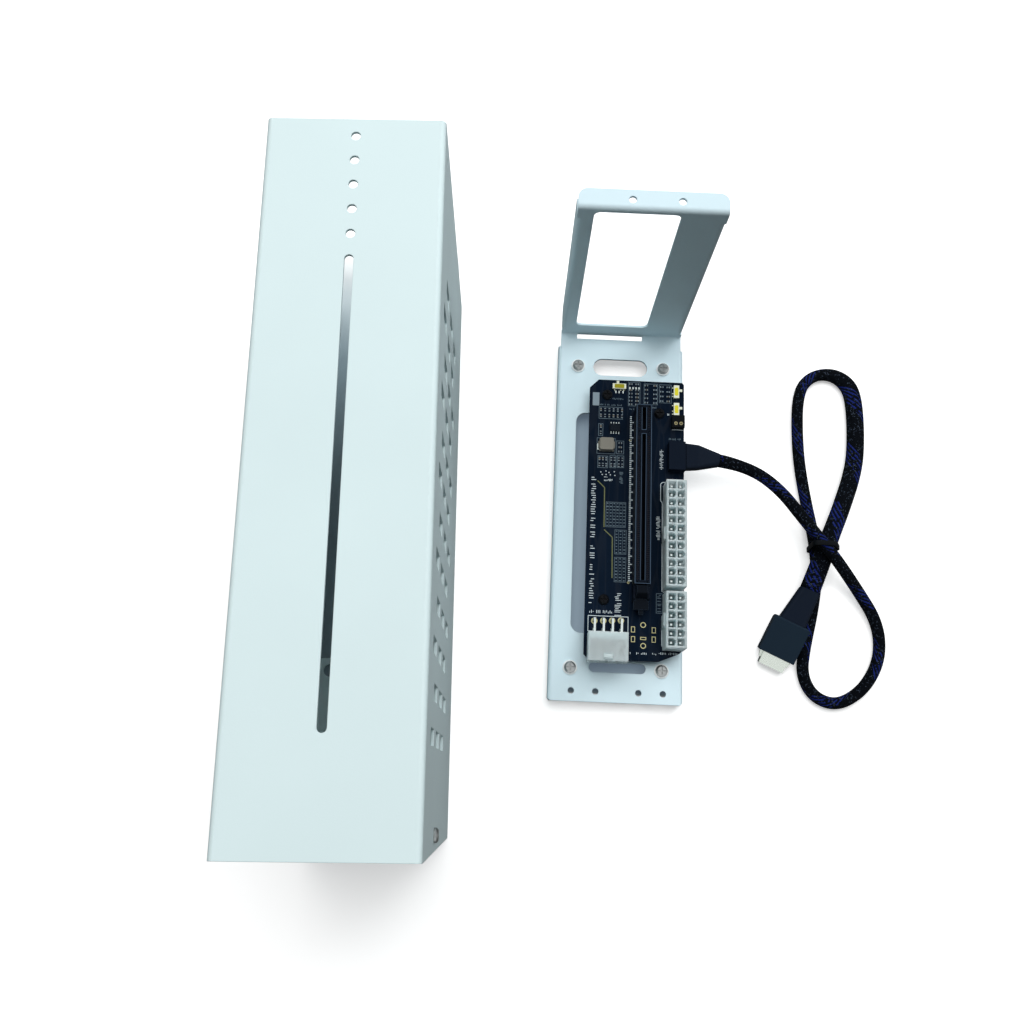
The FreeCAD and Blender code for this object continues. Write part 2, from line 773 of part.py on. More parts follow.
def make_data_socket():
    """Low shell on the board, open toward the board's right edge."""
    half = socket_width / 2
    left, right = socket_left, board_width
    shell = box(left, right, socket_y - half, socket_y + half, board_top, board_top + socket_height)
    inner, roof = half - socket_wall, board_top + socket_height - socket_wall
    hollow = box(left + socket_back, right + 1, socket_y - inner, socket_y + inner,
                 board_top + socket_wall, roof)
    tongue = box(left + socket_back - 0.1, right - 1.5, socket_y - 4.5, socket_y + 4.5,
                 board_top + socket_height / 2 - 0.35, board_top + socket_height / 2 + 0.35)
    return fuse([shell.cut(hollow), tongue])


def make_data_plug():
    """Metal nose inside the socket, hollow round the socket's tongue."""
    half = socket_width / 2 - socket_wall - 0.25
    low = board_top + socket_wall + 0.25
    high = board_top + socket_height - socket_wall - 0.25
    left, right = socket_left + socket_back + 0.3, board_width + 0.3
    shell = box(left, right, socket_y - half, socket_y + half, low, high)
    hollow = box(left - 1, right - 1.0, socket_y - half + 0.6, socket_y + half - 0.6,
                 low + 0.6, high - 0.6)
    return shell.cut(hollow)


def section(width, thick, radius, at, heading, pitch_down=0.0):
    """Rounded rectangle square to a heading, for the plugs' boots."""
    wire = outline("yz", rectangle(0, 0, width, thick, radius), 0).OuterWire
    wire.rotate(V(0, 0, 0), V(0, 1, 0), pitch_down)
    wire.rotate(V(0, 0, 0), V(0, 0, 1), heading)
    wire.translate(V(*at))
    return wire


def heading_of(a, b):
    """Heading in plan from +X and how far it points down, in degrees."""
    level = hypot(b[0] - a[0], b[1] - a[1])
    return degrees(atan2(b[1] - a[1], b[0] - a[0])), degrees(atan2(a[2] - b[2], level))


def make_data_plug_boot():
    start_x = board_x + board_width + 0.3
    y = board_y + socket_y
    z = board_top + socket_height / 2
    heading, drop = heading_of(cable_route[0], cable_route[1])
    width = socket_width - 1.2
    wires = [section(width, boot_thick - 0.4, 1.2, (start_x, y, z), 0),
             section(width - 0.9, boot_thick - 0.4, 1.6, (start_x + boot_neck, y, z), -2),
             section(boot_end_width, boot_thick, boot_thick / 2 - 0.2, cable_route[0], heading, drop)]
    return Part.makeLoft(wires, True, True)


def on_far_plug(shape):
    placed = shape.copy()
    placed.rotate(V(0, 0, 0), V(0, 1, 0), far_plug_pitch)
    placed.rotate(V(0, 0, 0), V(0, 0, 1), far_plug_heading)
    placed.translate(V(*far_plug_at))
    return placed


def make_far_plug_body():
    long, wide, thick = far_plug_body
    plan = [(0, -wide / 2, far_plug_corner), (long, -wide / 2),
            (long, wide / 2), (0, wide / 2, far_plug_corner)]
    body = prism("xy", plan, -thick / 2, thick / 2)
    side = [(0, -thick / 2, 0.8), (long, -thick / 2), (long, thick / 2), (0, thick / 2, 0.8)]
    body = body.common(prism("xz", side, -wide, wide))
    edges = [side * wide / 2 for side in (-1, 1)]
    notches = [box(long - 4.0, long + 1, edge - 0.7, edge + 0.7, -0.8, 0.8) for edge in edges]
    return on_far_plug(body.cut(notches))


def make_far_plug_nose():
    long, wide, thick = far_plug_nose
    start = far_plug_body[0]
    shell = box(start, start + long, -wide / 2, wide / 2, -thick / 2, thick / 2)
    hollow = box(start + 0.8, start + long + 1, -wide / 2 + nose_wall, wide / 2 - nose_wall,
                 -thick / 2 + nose_wall, thick / 2 - nose_wall)
    lugs = [prism("xy", [(start, s * (wide / 2 - 0.1)), (start + 3.4, s * (wide / 2 - 0.1)),
                         (start + 3.0, s * (wide / 2 + 1.0)), (start, s * (wide / 2 + 1.7))], -0.6, 0.6)
            for s in (-1, 1)]
    return on_far_plug(fuse([shell.cut(hollow)] + lugs))


def make_far_plug_boot():
    heading, drop = heading_of(cable_route[-2], cable_route[-1])
    wires = [section(cable_end_width, boot_thick, 2.2, cable_route[-1], heading, drop),
             section(boot_width, boot_thick + 0.3, 1.8, far_plug_at, far_plug_heading, far_plug_pitch)]
    return Part.makeLoft(wires, True, True)


def cable_path(points):
    """Straight runs joined by tangent arcs, each as large as its two runs allow."""
    points = [V(*p) for p in points]
    edges, here, length = [], points[0], 0.0
    radii = []
    for i in range(1, len(points) - 1):
        back = (points[i - 1] - points[i]).normalize()
        ahead = (points[i + 1] - points[i]).normalize()
        turn = pi - back.getAngle(ahead)
        shorter = min((points[i] - points[i - 1]).Length, (points[i + 1] - points[i]).Length)
        setback = 0.45 * shorter
        radius = setback / tan(turn / 2)
        into, out = points[i] + back * setback, points[i] + ahead * setback
        toward = (back + ahead).normalize()
        middle = points[i] + toward * (radius / cos(turn / 2) - radius)
        edges.append(Part.LineSegment(here, into).toShape())
        edges.append(Part.Arc(into, middle, out).toShape())
        radii.append(round(radius, 1))
        here = out
    edges.append(Part.LineSegment(here, points[-1]).toShape())
    length = sum(e.Length for e in edges)
    return Part.Wire(edges), length, radii


def make_cable():
    path, length, radii = cable_path(cable_route)
    start, ahead = V(*cable_route[0]), V(*cable_route[1]) - V(*cable_route[0])
    profile = Part.Wire(Part.makeCircle(cable_r, start, ahead))
    tube = path.makePipeShell([profile], True, False)
    expected = pi * cable_r ** 2 * length
    print("cable length", round(length, 1), "volume ratio", round(tube.Volume / expected, 4))
    print("bend radii", radii)
    return tube


def make_tie():
    wide, tall = tie_inside
    x, y = tie_at
    z = tie_low + tie_thick + tall / 2
    outer = prism("xz", rectangle(x, z, wide + 2 * tie_thick, tall + 2 * tie_thick, 4.0), y, y + tie_wide)
    inner = prism("xz", rectangle(x, z, wide, tall, 3.2), y - 1, y + tie_wide + 1)
    return outer.cut(inner)


# Small parts on the board

def make_switch(place, part):
    """Slide switch lying on its side: body, or the lever that travels in its long slot."""
    long, deep, tall = switch_body
    thick, proud, lever_tall = switch_lever
    x, y, turn = place
    rest = 0.5 * switch_travel
    floor = board_top + (tall - lever_tall) / 2
    if part == "body":
        shape = box(-deep / 2, deep / 2, -long / 2, long / 2, board_top, board_top + tall)
        slot_half = thick / 2 + rest + slide_gap
        slot_low, slot_top = floor - slide_gap, floor + lever_tall + slide_gap
        slot = box(0.2, deep / 2 + 1, -slot_half, slot_half, slot_low, slot_top)
        feet = [box(-deep / 2 - 0.7, -deep / 2 + 0.05, f - 0.25, f + 0.25, board_top, board_top + 0.3)
                for f in (-2.25, -0.75, 2.25)]
        shape = fuse([shape.cut(slot)] + feet)
    else:
        near, far = rest - thick / 2, rest + thick / 2
        shape = box(0.2 + slide_gap, deep / 2 + proud, near, far, floor, floor + lever_tall)
    shape = moved(shape, 0, 0, 0, turn)
    return moved(shape, x, y)


def make_coil():
    long, deep, tall = coil_size
    x, y = coil_place
    base = box(x - long / 2, x + long / 2, y - deep / 2, y + deep / 2, board_top, board_top + coil_step)
    top = prism("xy", rectangle(x, y, long - 0.3, deep - 0.3, 0.9), board_top + coil_step, board_top + tall)
    edges = [x + side * long / 2 for side in (-1, 1)]
    ends = [box(edge - 0.6, edge + 0.6, y - 1.7, y + 1.7, board_top, board_top + 1.1) for edge in edges]
    return fuse([base, top] + ends)


def make_chip():
    long, deep, tall = chip_size
    wide, reach, thick = chip_lead
    x, y = chip_place
    body = box(x - long / 2, x + long / 2, y - deep / 2, y + deep / 2, board_top + 0.1, board_top + tall)
    return body


def make_chip_leads():
    long, deep, tall = chip_size
    wide, reach, thick = chip_lead
    x, y = chip_place
    leads = []
    for side in (-1, 1):
        edge = y + side * deep / 2
        for i in range(4):
            lead_x = x + (i - 1.5) * chip_pitch
            corners = [(edge, board_top + 0.8), (edge + side * 0.5, board_top + 0.8),
                       (edge + side * 0.5, board_top + thick), (edge + side * reach, board_top + thick),
                       (edge + side * reach, board_top), (edge + side * 0.25, board_top),
                       (edge + side * 0.25, board_top + 0.8 - thick), (edge, board_top + 0.8 - thick)]
            leads.append(prism("yz", corners, lead_x - wide / 2, lead_x + wide / 2))
    return group(leads)


def small_parts(kind):
    """Every small two-ended part on the board: their bodies, or their soldered ends."""
    long, wide, tall = small_part
    half, inner = long / 2, long / 2 - small_end
    if kind == "body":
        pieces = [box(-inner, inner, -wide / 2, wide / 2, board_top, board_top + tall)]
    else:
        pieces = [box(-half, -inner, -wide / 2, wide / 2, board_top, board_top + tall),
                  box(inner, half, -wide / 2, wide / 2, board_top, board_top + tall)]
    placed = []
    for place, counts in zip(small_part_groups, small_part_counts):
        x, y, pitch_x, pitch_y = place
        columns, rows, turn = counts
        for column in range(columns):
            for row in range(rows):
                at = (x + column * pitch_x, y + row * pitch_y, 0, turn)
                placed += [moved(piece, *at) for piece in pieces]
    return group(placed)


def fan_contact_places():
    x, y = fan_place
    return [(x - fan_pitch / 2, y - 1.2), (x + fan_pitch / 2, y - 1.2)]


def make_fan_socket():
    long, deep, tall = fan_size
    x, y = fan_place
    body = box(x - long / 2, x + long / 2, y - deep / 2, y + deep / 2, board_top, board_top + tall)
    low, high = board_top + 0.6, board_top + tall + 1
    holes = [upright(fan_contact_r, hole_x, hole_y, low, high) for hole_x, hole_y in fan_contact_places()]
    return body.cut(holes)


def make_fan_contacts():
    tubes = []
    for x, y in fan_contact_places():
        tube = upright(fan_contact_r, x, y, board_top + 0.6, board_top + fan_size[2] + 0.05)
        tubes.append(tube.cut(upright(fan_bore_r, x, y, board_top + 1.2, board_top + fan_size[2] + 1)))
    return group(tubes)


# Place everything on the floor round the shared middle

def cover_corner():
    return -tray_width / 2 - cover_gap_x, -cover_gap_y


def shared_middle():
    """Plan middle of the box that holds the cover and the tray."""
    turn = radians(cover_yaw)
    x, y = cover_corner()
    across_x, across_y = cover_width * cos(turn), cover_width * sin(turn)
    along_x, along_y = -cover_length * sin(turn), cover_length * cos(turn)
    left = x - across_x + along_x
    near = y - across_y
    far = max(y + along_y, tray_reach + return_depth)
    return (left + tray_width / 2) / 2, (near + far) / 2


middle_x, middle_y = shared_middle()


def tray_place(shape):
    return moved(shape, -middle_x, -middle_y)


def cover_place(shape):
    x, y = cover_corner()
    turned = moved(shape, -cover_width / 2, 0)
    return moved(moved(turned, 0, 0, 0, cover_yaw), x - middle_x, y - middle_y)


def save(name, shape):
    shape.exportStep("parts/" + name + ".step")


def on_board(name, shape):
    save(name, tray_place(board_to_tray(shape)))


save("cover_shell", cover_place(make_cover()))
save("cover_front_panel", cover_place(make_front_panel()))
save("cover_front_screws", cover_place(make_front_screws()))

save("tray", tray_place(make_tray()))
seat = plate_top + washer_height
save("tray_washers", tray_place(at_feet(make_washer())))
save("tray_screws", tray_place(at_feet(pan_screw(foot_screw_length, pan_head_r, seat))))
save("rubber_feet", tray_place(at_feet(make_foot())))
save("foot_nuts", tray_place(at_feet(make_foot_nut())))

on_board("board_standoffs", group([moved(make_standoff(), x, y) for x, y in board_screws]))
on_board("board_screws", group([moved(pan_screw(board_screw_length, board_head_r, board_top), x, y)
                                for x, y in board_screws]))
on_board("circuit_board", make_board())
on_board("card_slot_housing", make_slot_housing())
on_board("card_slot_contacts", make_slot_contacts())
on_board("slot_latch", make_latch())
on_board("power_header_24", make_header(main_header_far, main_header_rows))
on_board("power_header_24_pins", make_header_pins(main_header_far, main_header_rows))
on_board("power_header_12", make_header(second_header_far, second_header_rows))
on_board("power_header_12_pins", make_header_pins(second_header_far, second_header_rows))
on_board("card_power_header", make_card_header())
on_board("card_power_pins", make_card_pins())
on_board("data_socket", make_data_socket())
on_board("data_plug", make_data_plug())
for number, place in enumerate(switch_places, 1):
    on_board("switch_%d_body" % number, make_switch(place, "body"))
    on_board("switch_%d_lever" % number, make_switch(place, "lever"))
on_board("power_coil", make_coil())
on_board("regulator_chip", make_chip())
on_board("regulator_leads", make_chip_leads())
on_board("small_parts", small_parts("body"))
on_board("small_part_ends", small_parts("ends"))
on_board("fan_socket", make_fan_socket())
on_board("fan_socket_contacts", make_fan_contacts())

save("data_plug_boot", tray_place(make_data_plug_boot()))
save("data_cable", tray_place(make_cable()))
save("cable_tie", tray_place(make_tie()))
save("far_plug_boot", tray_place(make_far_plug_boot()))
save("far_plug_body", tray_place(make_far_plug_body()))
save("far_plug_nose", tray_place(make_far_plug_nose()))
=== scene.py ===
import bpy
import math
import random
from mathutils import Matrix, Vector


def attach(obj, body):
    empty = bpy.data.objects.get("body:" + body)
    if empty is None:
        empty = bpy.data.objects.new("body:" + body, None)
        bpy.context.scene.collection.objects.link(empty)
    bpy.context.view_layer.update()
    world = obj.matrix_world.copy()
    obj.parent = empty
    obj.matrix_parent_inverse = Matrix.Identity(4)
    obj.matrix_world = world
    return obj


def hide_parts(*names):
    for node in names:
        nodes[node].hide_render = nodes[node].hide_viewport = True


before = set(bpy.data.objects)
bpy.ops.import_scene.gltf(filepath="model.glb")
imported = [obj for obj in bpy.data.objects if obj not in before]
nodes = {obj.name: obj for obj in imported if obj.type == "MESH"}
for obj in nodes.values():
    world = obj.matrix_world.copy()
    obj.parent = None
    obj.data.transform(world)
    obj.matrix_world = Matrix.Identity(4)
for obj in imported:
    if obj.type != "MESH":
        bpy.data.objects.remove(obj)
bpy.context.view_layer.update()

MM = 0.001                                        # in metres, the scene's unit
ROOT = "enclosure_set"


def piece_box(name):
    """Low and high corner, in millimetres, of one of the frame's pieces."""
    piece = nodes[name]
    corners = [piece.matrix_world @ Vector(corner) / MM for corner in piece.bound_box]
    return [Vector([pick(corner[axis] for corner in corners) for axis in range(3)])
            for pick in (min, max)]


TRAY = Vector((59.755, -68.92, 0.0))              # the tray's own frame: the middle of its near edge
board_low, board_high = piece_box("circuit_board")
BOARD = Vector((board_low.x, board_low.y, 0.0))   # the board's own frame: its near left corner
BOARD_TOP = board_high.z


# Camera

def make_camera():
    """The photograph's view, placed in the tray's own frame."""
    tilt, roll, turn = math.radians(14.729), math.radians(-2.289), math.radians(0.211)
    ahead = Vector((0, math.sin(tilt), -math.cos(tilt)))
    right = Vector((1, 0, 0))
    down = ahead.cross(right)
    across = right * math.cos(roll) + down * math.sin(roll)
    below = down * math.cos(roll) - right * math.sin(roll)
    spin = Matrix.Rotation(turn, 3, "Z")
    axes = Matrix((spin @ across, spin @ -below, spin @ -ahead)).transposed()
    data = bpy.data.cameras.new("view")
    data.sensor_width = 36.0
    data.lens = 36.12
    data.clip_start = 0.01
    data.clip_end = 20.0
    camera = bpy.data.objects.new("view", data)
    place = TRAY + Vector((-51.80, -38.08, 497.73))
    camera.matrix_world = Matrix.Translation(place * MM) @ axes.to_4x4()
    bpy.context.collection.objects.link(camera)
    bpy.context.scene.camera = camera


make_camera()
scene = bpy.context.scene
scene.view_settings.view_transform = "Standard"


# Materials

def new_material(name):
    material = bpy.data.materials.new(name)
    material.use_nodes = True
    material.node_tree.nodes.clear()
    return material


def principled(material):
    return next(node for node in material.node_tree.nodes if node.type == "BSDF_PRINCIPLED")


class Nodes:
    """Short calls for the node tree of a material or of the world."""

    def __init__(self, owner):
        self.tree = owner.node_tree
        self.coords = None

    def add(self, kind, **settings):
        node = self.tree.nodes.new(kind)
        for key, value in settings.items():
            setattr(node, key, value)
        return node

    def link(self, a, b):
        self.tree.links.new(a, b)

    def put(self, value, socket):
        """Set a socket to a number or a colour, or link another node's output to it."""
        if isinstance(value, float):
            socket.default_value = value
        elif isinstance(value, tuple):
            socket.default_value = (*value, 1)
        else:
            self.link(value, socket)

    def place(self):
        if not self.coords:
            self.coords = self.add("ShaderNodeTexCoord")
        return self.coords

    def stretched(self, scale):
        """The object's own coordinates, each times its own factor."""
        mapping = self.add("ShaderNodeMapping")
        mapping.inputs["Scale"].default_value = scale
        self.link(self.place().outputs["Object"], mapping.inputs["Vector"])
        return mapping.outputs["Vector"]

    def noise(self, scale, detail=3.0, stretch=(1, 1, 1)):
        node = self.add("ShaderNodeTexNoise")
        node.inputs["Scale"].default_value = scale
        node.inputs["Detail"].default_value = detail
        self.link(self.stretched(stretch), node.inputs["Vector"])
        return node.outputs["Fac"]

    def cells(self, scale, vector, feature="F1"):
        node = self.add("ShaderNodeTexVoronoi", feature=feature)
        node.inputs["Scale"].default_value = scale
        self.link(vector, node.inputs["Vector"])
        return node.outputs

    def maths(self, operation, a, b=None):
        node = self.add("ShaderNodeMath", operation=operation)
        self.link(a, node.inputs[0])
        if b is not None:
            self.put(b, node.inputs[1])
        return node.outputs[0]

    def mixed(self, factor, a, b, kind="RGBA", blend="MIX"):
        """Number or colour a, with b mixed in as far as the factor says."""
        node = self.add("ShaderNodeMix", data_type=kind, blend_type=blend)
        first, result = (2, 0) if kind == "FLOAT" else (6, 2)
        self.put(factor, node.inputs[0])
        self.put(a, node.inputs[first])
        self.put(b, node.inputs[first + 1])
        return node.outputs[result]

    def ramp(self, factor, stops):
        node = self.add("ShaderNodeValToRGB")
        while len(node.color_ramp.elements) < len(stops):
            node.color_ramp.elements.new(0.5)
        for element, (position, colour) in zip(node.color_ramp.elements, stops):
            element.position = position
            element.color = (*colour, 1)
        self.link(factor, node.inputs["Fac"])
        return node.outputs["Color"]

    def between(self, noise, low, high):
        """All tones from low to high: most of a noise's values lie from 0.3 to 0.7."""
        return self.ramp(noise, [(0.3, low), (0.7, high)])

    def bevel(self, radius, samples=4):
        """Normals that are rounded off over the edges."""
        node = self.add("ShaderNodeBevel", samples=samples)
        node.inputs["Radius"].default_value = radius
        return node.outputs["Normal"]

    def bump(self, height, distance, strength, before=None):
        node = self.add("ShaderNodeBump")
        node.inputs["Distance"].default_value = distance
        node.inputs["Strength"].default_value = strength
        self.link(height, node.inputs["Height"])
        if before:
            self.link(before, node.inputs["Normal"])
        return node.outputs["Normal"]

    def shader(self, roughness, metallic, specular):
        node = self.add("ShaderNodeBsdfPrincipled")
        node.inputs["Roughness"].default_value = roughness
        node.inputs["Metallic"].default_value = metallic
        node.inputs["Specular IOR Level"].default_value = specular
        out = self.add("ShaderNodeOutputMaterial")
        self.link(node.outputs["BSDF"], out.inputs["Surface"])
        return node


def grey(value):
    return (value, value, value)


def shade(colour, factor):
    return tuple(min(1.0, c * factor) for c in colour)


def linear(r, g, b):
    """Linear colour from the 0 to 255 values of a screen."""
    return tuple((v / 255 / 12.92) if v <= 10.3 else ((v / 255 + 0.055) / 1.055) ** 2.4
                 for v in (r, g, b))


def grained(name, colour, roughness, grain, depth, vary, metallic=0.0, specular=0.5, edge=0.00015,
            stretch=(1, 1, 1)):
    """Moulded, painted or metal surface: fine grain, faint patches of tone and softened edges.

    The grain's scale is per metre; its depth and the edges' radius are in metres.
    """
    material = new_material(name)
    n = Nodes(material)
    shader = n.shader(roughness, metallic, specular)
    patches = n.noise(18.0, 4.0)
    n.link(n.between(patches, shade(colour, 1 - vary), shade(colour, 1 + vary * 0.6)),
           shader.inputs["Base Color"])
    fine = n.noise(grain, 3.0, stretch)
    smooth, rough = max(0.02, roughness - 0.06), min(1.0, roughness + 0.06)
    n.link(n.between(fine, grey(smooth), grey(rough)), shader.inputs["Roughness"])
    n.link(n.bump(fine, depth, 0.6, n.bevel(edge) if edge else None), shader.inputs["Normal"])
    return material


white_cover = grained("white_powder_coat_cover", linear(224, 242, 244), 0.5, 1500.0, 0.00003, 0.02,
                      specular=0.3, edge=0.0005)
white_tray = grained("white_powder_coat_tray", linear(220, 241, 249), 0.45, 1500.0, 0.00003, 0.025,
                     specular=0.3, edge=0.0005)
screw_steel = grained("plated_steel", linear(168, 172, 172), 0.34, 2500.0, 0.00001, 0.08, 1.0)
dark_steel = grained("black_steel", linear(7, 9, 13), 0.4, 2500.0, 0.00001, 0.1, specular=0.12)
white_nylon = grained("white_nylon", linear(244, 250, 251), 0.45, 1200.0, 0.00002, 0.03, specular=0.3)
rubber = grained("foot_rubber", linear(30, 30, 31), 0.75, 1400.0, 0.00006, 0.12, specular=0.2)
post_metal = grained("turned_metal", linear(190, 182, 150), 0.32, 1800.0, 0.00002, 0.06, 1.0)
contact_bronze = grained("contact_bronze", linear(40, 31, 32), 0.55, 2500.0, 0.00001, 0.1, 0.2,
                         specular=0.1)
gold = grained("gold_plate", linear(168, 158, 118), 0.45, 2500.0, 0.00001, 0.06, 0.3)
tin = grained("tin_plate", linear(214, 224, 222), 0.35, 2500.0, 0.00001, 0.05, 0.7)
solder = grained("solder_ends", linear(146, 160, 168), 0.5, 2500.0, 0.00001, 0.1, specular=0.2)
socket_black = grained("socket_plastic", linear(13, 21, 33), 0.5, 1500.0, 0.00004, 0.1, specular=0.06)
bright_nickel = grained("plug_nickel", linear(214, 222, 214), 0.26, 1800.0, 0.00001, 0.05, 0.9,
                        stretch=(1, 6, 1))
boot_black = grained("boot_plastic", linear(13, 21, 33), 0.5, 1300.0, 0.00005, 0.1, specular=0.08)
strap_black = grained("strap_nylon", linear(7, 10, 14), 0.45, 1400.0, 0.00003, 0.1, specular=0.08)
plug_slate = grained("plug_plastic", linear(24, 37, 49), 0.55, 1400.0, 0.00006, 0.1, specular=0.08)
switch_yellow = grained("switch_yellow", linear(226, 214, 58), 0.45, 1500.0, 0.00003, 0.06, specular=0.2)
switch_olive = grained("switch_olive", linear(158, 150, 34), 0.45, 1500.0, 0.00003, 0.08, specular=0.2)
lever_white = grained("lever_plastic", linear(232, 236, 214), 0.4, 1500.0, 0.00003, 0.04, specular=0.3)
coil_grey = grained("pressed_ferrite", linear(124, 122, 114), 0.62, 2200.0, 0.00007, 0.12, specular=0.2)
chip_black = grained("chip_epoxy", linear(15, 22, 30), 0.5, 2400.0, 0.00005, 0.1, specular=0.08)
small_socket = grained("small_socket_plastic", linear(6, 9, 12), 0.45, 1500.0, 0.00004, 0.08,
                       specular=0.08)
print_white = grained("board_print", linear(206, 218, 222), 0.6, 3000.0, 0.00001, 0.08, specular=0.2,
                      edge=0)
print_dim = grained("board_print_dim", linear(96, 112, 122), 0.6, 3000.0, 0.00001, 0.12, specular=0.1,
                    edge=0)
label_grey = grained("blank_label", linear(136, 152, 162), 0.6, 3000.0, 0.00001, 0.06, specular=0.1,
                     edge=0)
# Painted highlight: pale blue for the lines along the card slot's rims
painted_highlight_blue = grained("slot_painted_highlight", linear(66, 82, 100), 0.5, 3000.0, 0.00001, 0.08, specular=0.1, edge=0)
olive_trace = grained("bare_trace", linear(104, 108, 74), 0.5, 2500.0, 0.00001, 0.08, specular=0.2,
                      edge=0)
gold_ring = grained("gold_ring", linear(196, 190, 142), 0.45, 2500.0, 0.00001, 0.08, 0.2, edge=0)


def nylon_material():
    """Translucent header plastic: light gets through the thin walls into the cavities."""
    material = grained("header_nylon", linear(200, 221, 225), 0.42, 900.0, 0.00003, 0.04, specular=0.3,
                       edge=0.0003)
    shader = principled(material)
    shader.inputs["Subsurface Weight"].default_value = 1.0
    shader.inputs["Subsurface Radius"].default_value = (1.0, 1.0, 1.0)
    shader.inputs["Subsurface Scale"].default_value = 0.008
    return material


def board_material():
    """Dark solder mask over copper: faint raised tracks under the skin."""
    material = new_material("solder_mask")
    n = Nodes(material)
    shader = n.shader(0.45, 0.0, 0.03)
    cells = n.cells(260.0, n.stretched((1, 0.12, 1)), "DISTANCE_TO_EDGE")
    tracks = n.ramp(cells["Distance"], [(0.04, grey(1.0)), (0.09, grey(0.0))])
    skin = n.between(n.noise(30.0, 4.0), linear(7, 17, 30), linear(13, 25, 40))
    n.link(n.mixed(0.004, skin, tracks, blend="ADD"), shader.inputs["Base Color"])
    n.link(n.bump(tracks, 0.00003, 0.5, n.bevel(0.00015)), shader.inputs["Normal"])
    return material


def painted_rim_material(name, base, edge, reach):
    """Dark moulded plastic with painted highlights: its narrow rims are painted as paler lines where they
    would catch the light.
    """
    material = grained(name, base, 0.45, 1500.0, 0.00004, 0.1, specular=0.06, edge=0.00025)
    n = Nodes(material)
    colour = principled(material).inputs["Base Color"]
    dot = n.add("ShaderNodeVectorMath", operation="DOT_PRODUCT")
    n.link(n.bevel(reach, 6), dot.inputs[0])
    n.link(n.add("ShaderNodeNewGeometry").outputs["True Normal"], dot.inputs[1])
    painted_rim_highlight = n.ramp(dot.outputs["Value"], [(0.86, grey(1.0)), (0.995, grey(0.0))])
    n.link(n.mixed(painted_rim_highlight, colour.links[0].from_socket, edge), colour)
    return material


def ceramic_material():
    """Small parts: brown, tan and black bodies, one tone to each place on the board."""
    material = new_material("part_ceramic")
    n = Nodes(material)
    shader = n.shader(0.5, 0.0, 0.25)
    parts = n.add("ShaderNodeSeparateColor")
    n.link(n.cells(260.0, n.place().outputs["Object"])["Color"], parts.inputs["Color"])
    tones = n.ramp(parts.outputs[0], [(0.0, linear(16, 22, 30)), (0.38, linear(24, 30, 38)),
                                      (0.45, linear(62, 60, 56)), (0.75, linear(92, 84, 72)),
                                      (0.85, linear(64, 76, 86))])
    n.link(tones, shader.inputs["Base Color"])
    fine = n.noise(2400.0)
    n.link(n.between(fine, grey(0.42), grey(0.6)), shader.inputs["Roughness"])
    n.link(n.bump(fine, 0.00002, 0.5), shader.inputs["Normal"])
    return material


STRANDS_ROUND = 20           # strands of each hand round the sleeve
STRAND_LONG = 0.0013         # metres along the sleeve, from one crossing to the next
BLUE_TURN = 0.034            # metres along the sleeve, one turn of the blue strands
BLUE_SHARE = 0.38            # of a turn that the blue strands take up


def braid_material():
    """Woven sleeve: two sets of dark strands cross over and under, and a band of blue ones winds round."""
    material = new_material("woven_sleeve")
    n = Nodes(material)
    maths = n.maths
    shader = n.shader(0.6, 0.0, 0.03)
    shader.inputs["Sheen Weight"].default_value = 0.01
    shader.inputs["Sheen Roughness"].default_value = 0.4
    parts = n.add("ShaderNodeSeparateXYZ")
    n.link(n.place().outputs["UV"], parts.inputs["Vector"])
    around, along = parts.outputs["X"], parts.outputs["Y"]

    def ridge(value):
        """0 at a strand's edges, 1 along its middle."""
        away = maths("ABSOLUTE", maths("SUBTRACT", value, 0.5))
        return maths("SUBTRACT", maths("MULTIPLY", maths("MULTIPLY", away, away), -4.0), -1.0)

    one = maths("ADD", around, along)
    two = maths("SUBTRACT", around, along)
    over = maths("MODULO", maths("ADD", maths("FLOOR", one), maths("FLOOR", two)), 2.0)
    over = maths("GREATER_THAN", maths("ABSOLUTE", over), 0.5)
    height = n.mixed(over, ridge(maths("FRACT", one)), ridge(maths("FRACT", two)), kind="FLOAT")
    height = maths("ADD", height, maths("MULTIPLY", n.noise(7000.0, 2.0), 0.25))

    turn = maths("ADD", maths("MULTIPLY", around, 1.0 / STRANDS_ROUND),
                 maths("MULTIPLY", along, STRAND_LONG / BLUE_TURN))
    in_band = maths("LESS_THAN", maths("FRACT", turn), BLUE_SHARE)
    every_other = maths("LESS_THAN", maths("ABSOLUTE", maths("MODULO", maths("FLOOR", one), 2.0)), 0.5)
    unbroken = maths("GREATER_THAN", n.noise(420.0, 1.0), 0.44)
    blue = maths("MULTIPLY", maths("MULTIPLY", in_band, every_other), unbroken)
    # Painted highlight: pale glints here and there on the crowns of the strands
    painted_glint = maths("MULTIPLY", maths("GREATER_THAN", n.noise(900.0, 1.0), 0.62),
                  maths("GREATER_THAN", height, 0.98))
    colour = n.mixed(blue, linear(6, 9, 14), linear(28, 40, 104))
    colour = n.mixed(painted_glint, colour, linear(62, 72, 86))
    # Painted shade: the colour is darker where the strands dip between each other
    painted_crevice_shade = n.ramp(height, [(0.1, grey(0.25)), (0.75, grey(1.0))])
    n.link(n.mixed(1.0, colour, painted_crevice_shade, blend="MULTIPLY"), shader.inputs["Base Color"])
    n.link(n.bump(height, 0.00025, 0.8), shader.inputs["Normal"])
    return material


nylon = nylon_material()
board_black = board_material()
ceramic = ceramic_material()
# The slot's and the latch's plastics, each with a paler colour painted on its rims as a highlight
slot_black = painted_rim_material("slot_plastic", linear(9, 15, 25), linear(60, 74, 90), 0.00012)
latch_black = painted_rim_material("latch_plastic", linear(8, 13, 20), linear(58, 72, 88), 0.00025)
braid = braid_material()

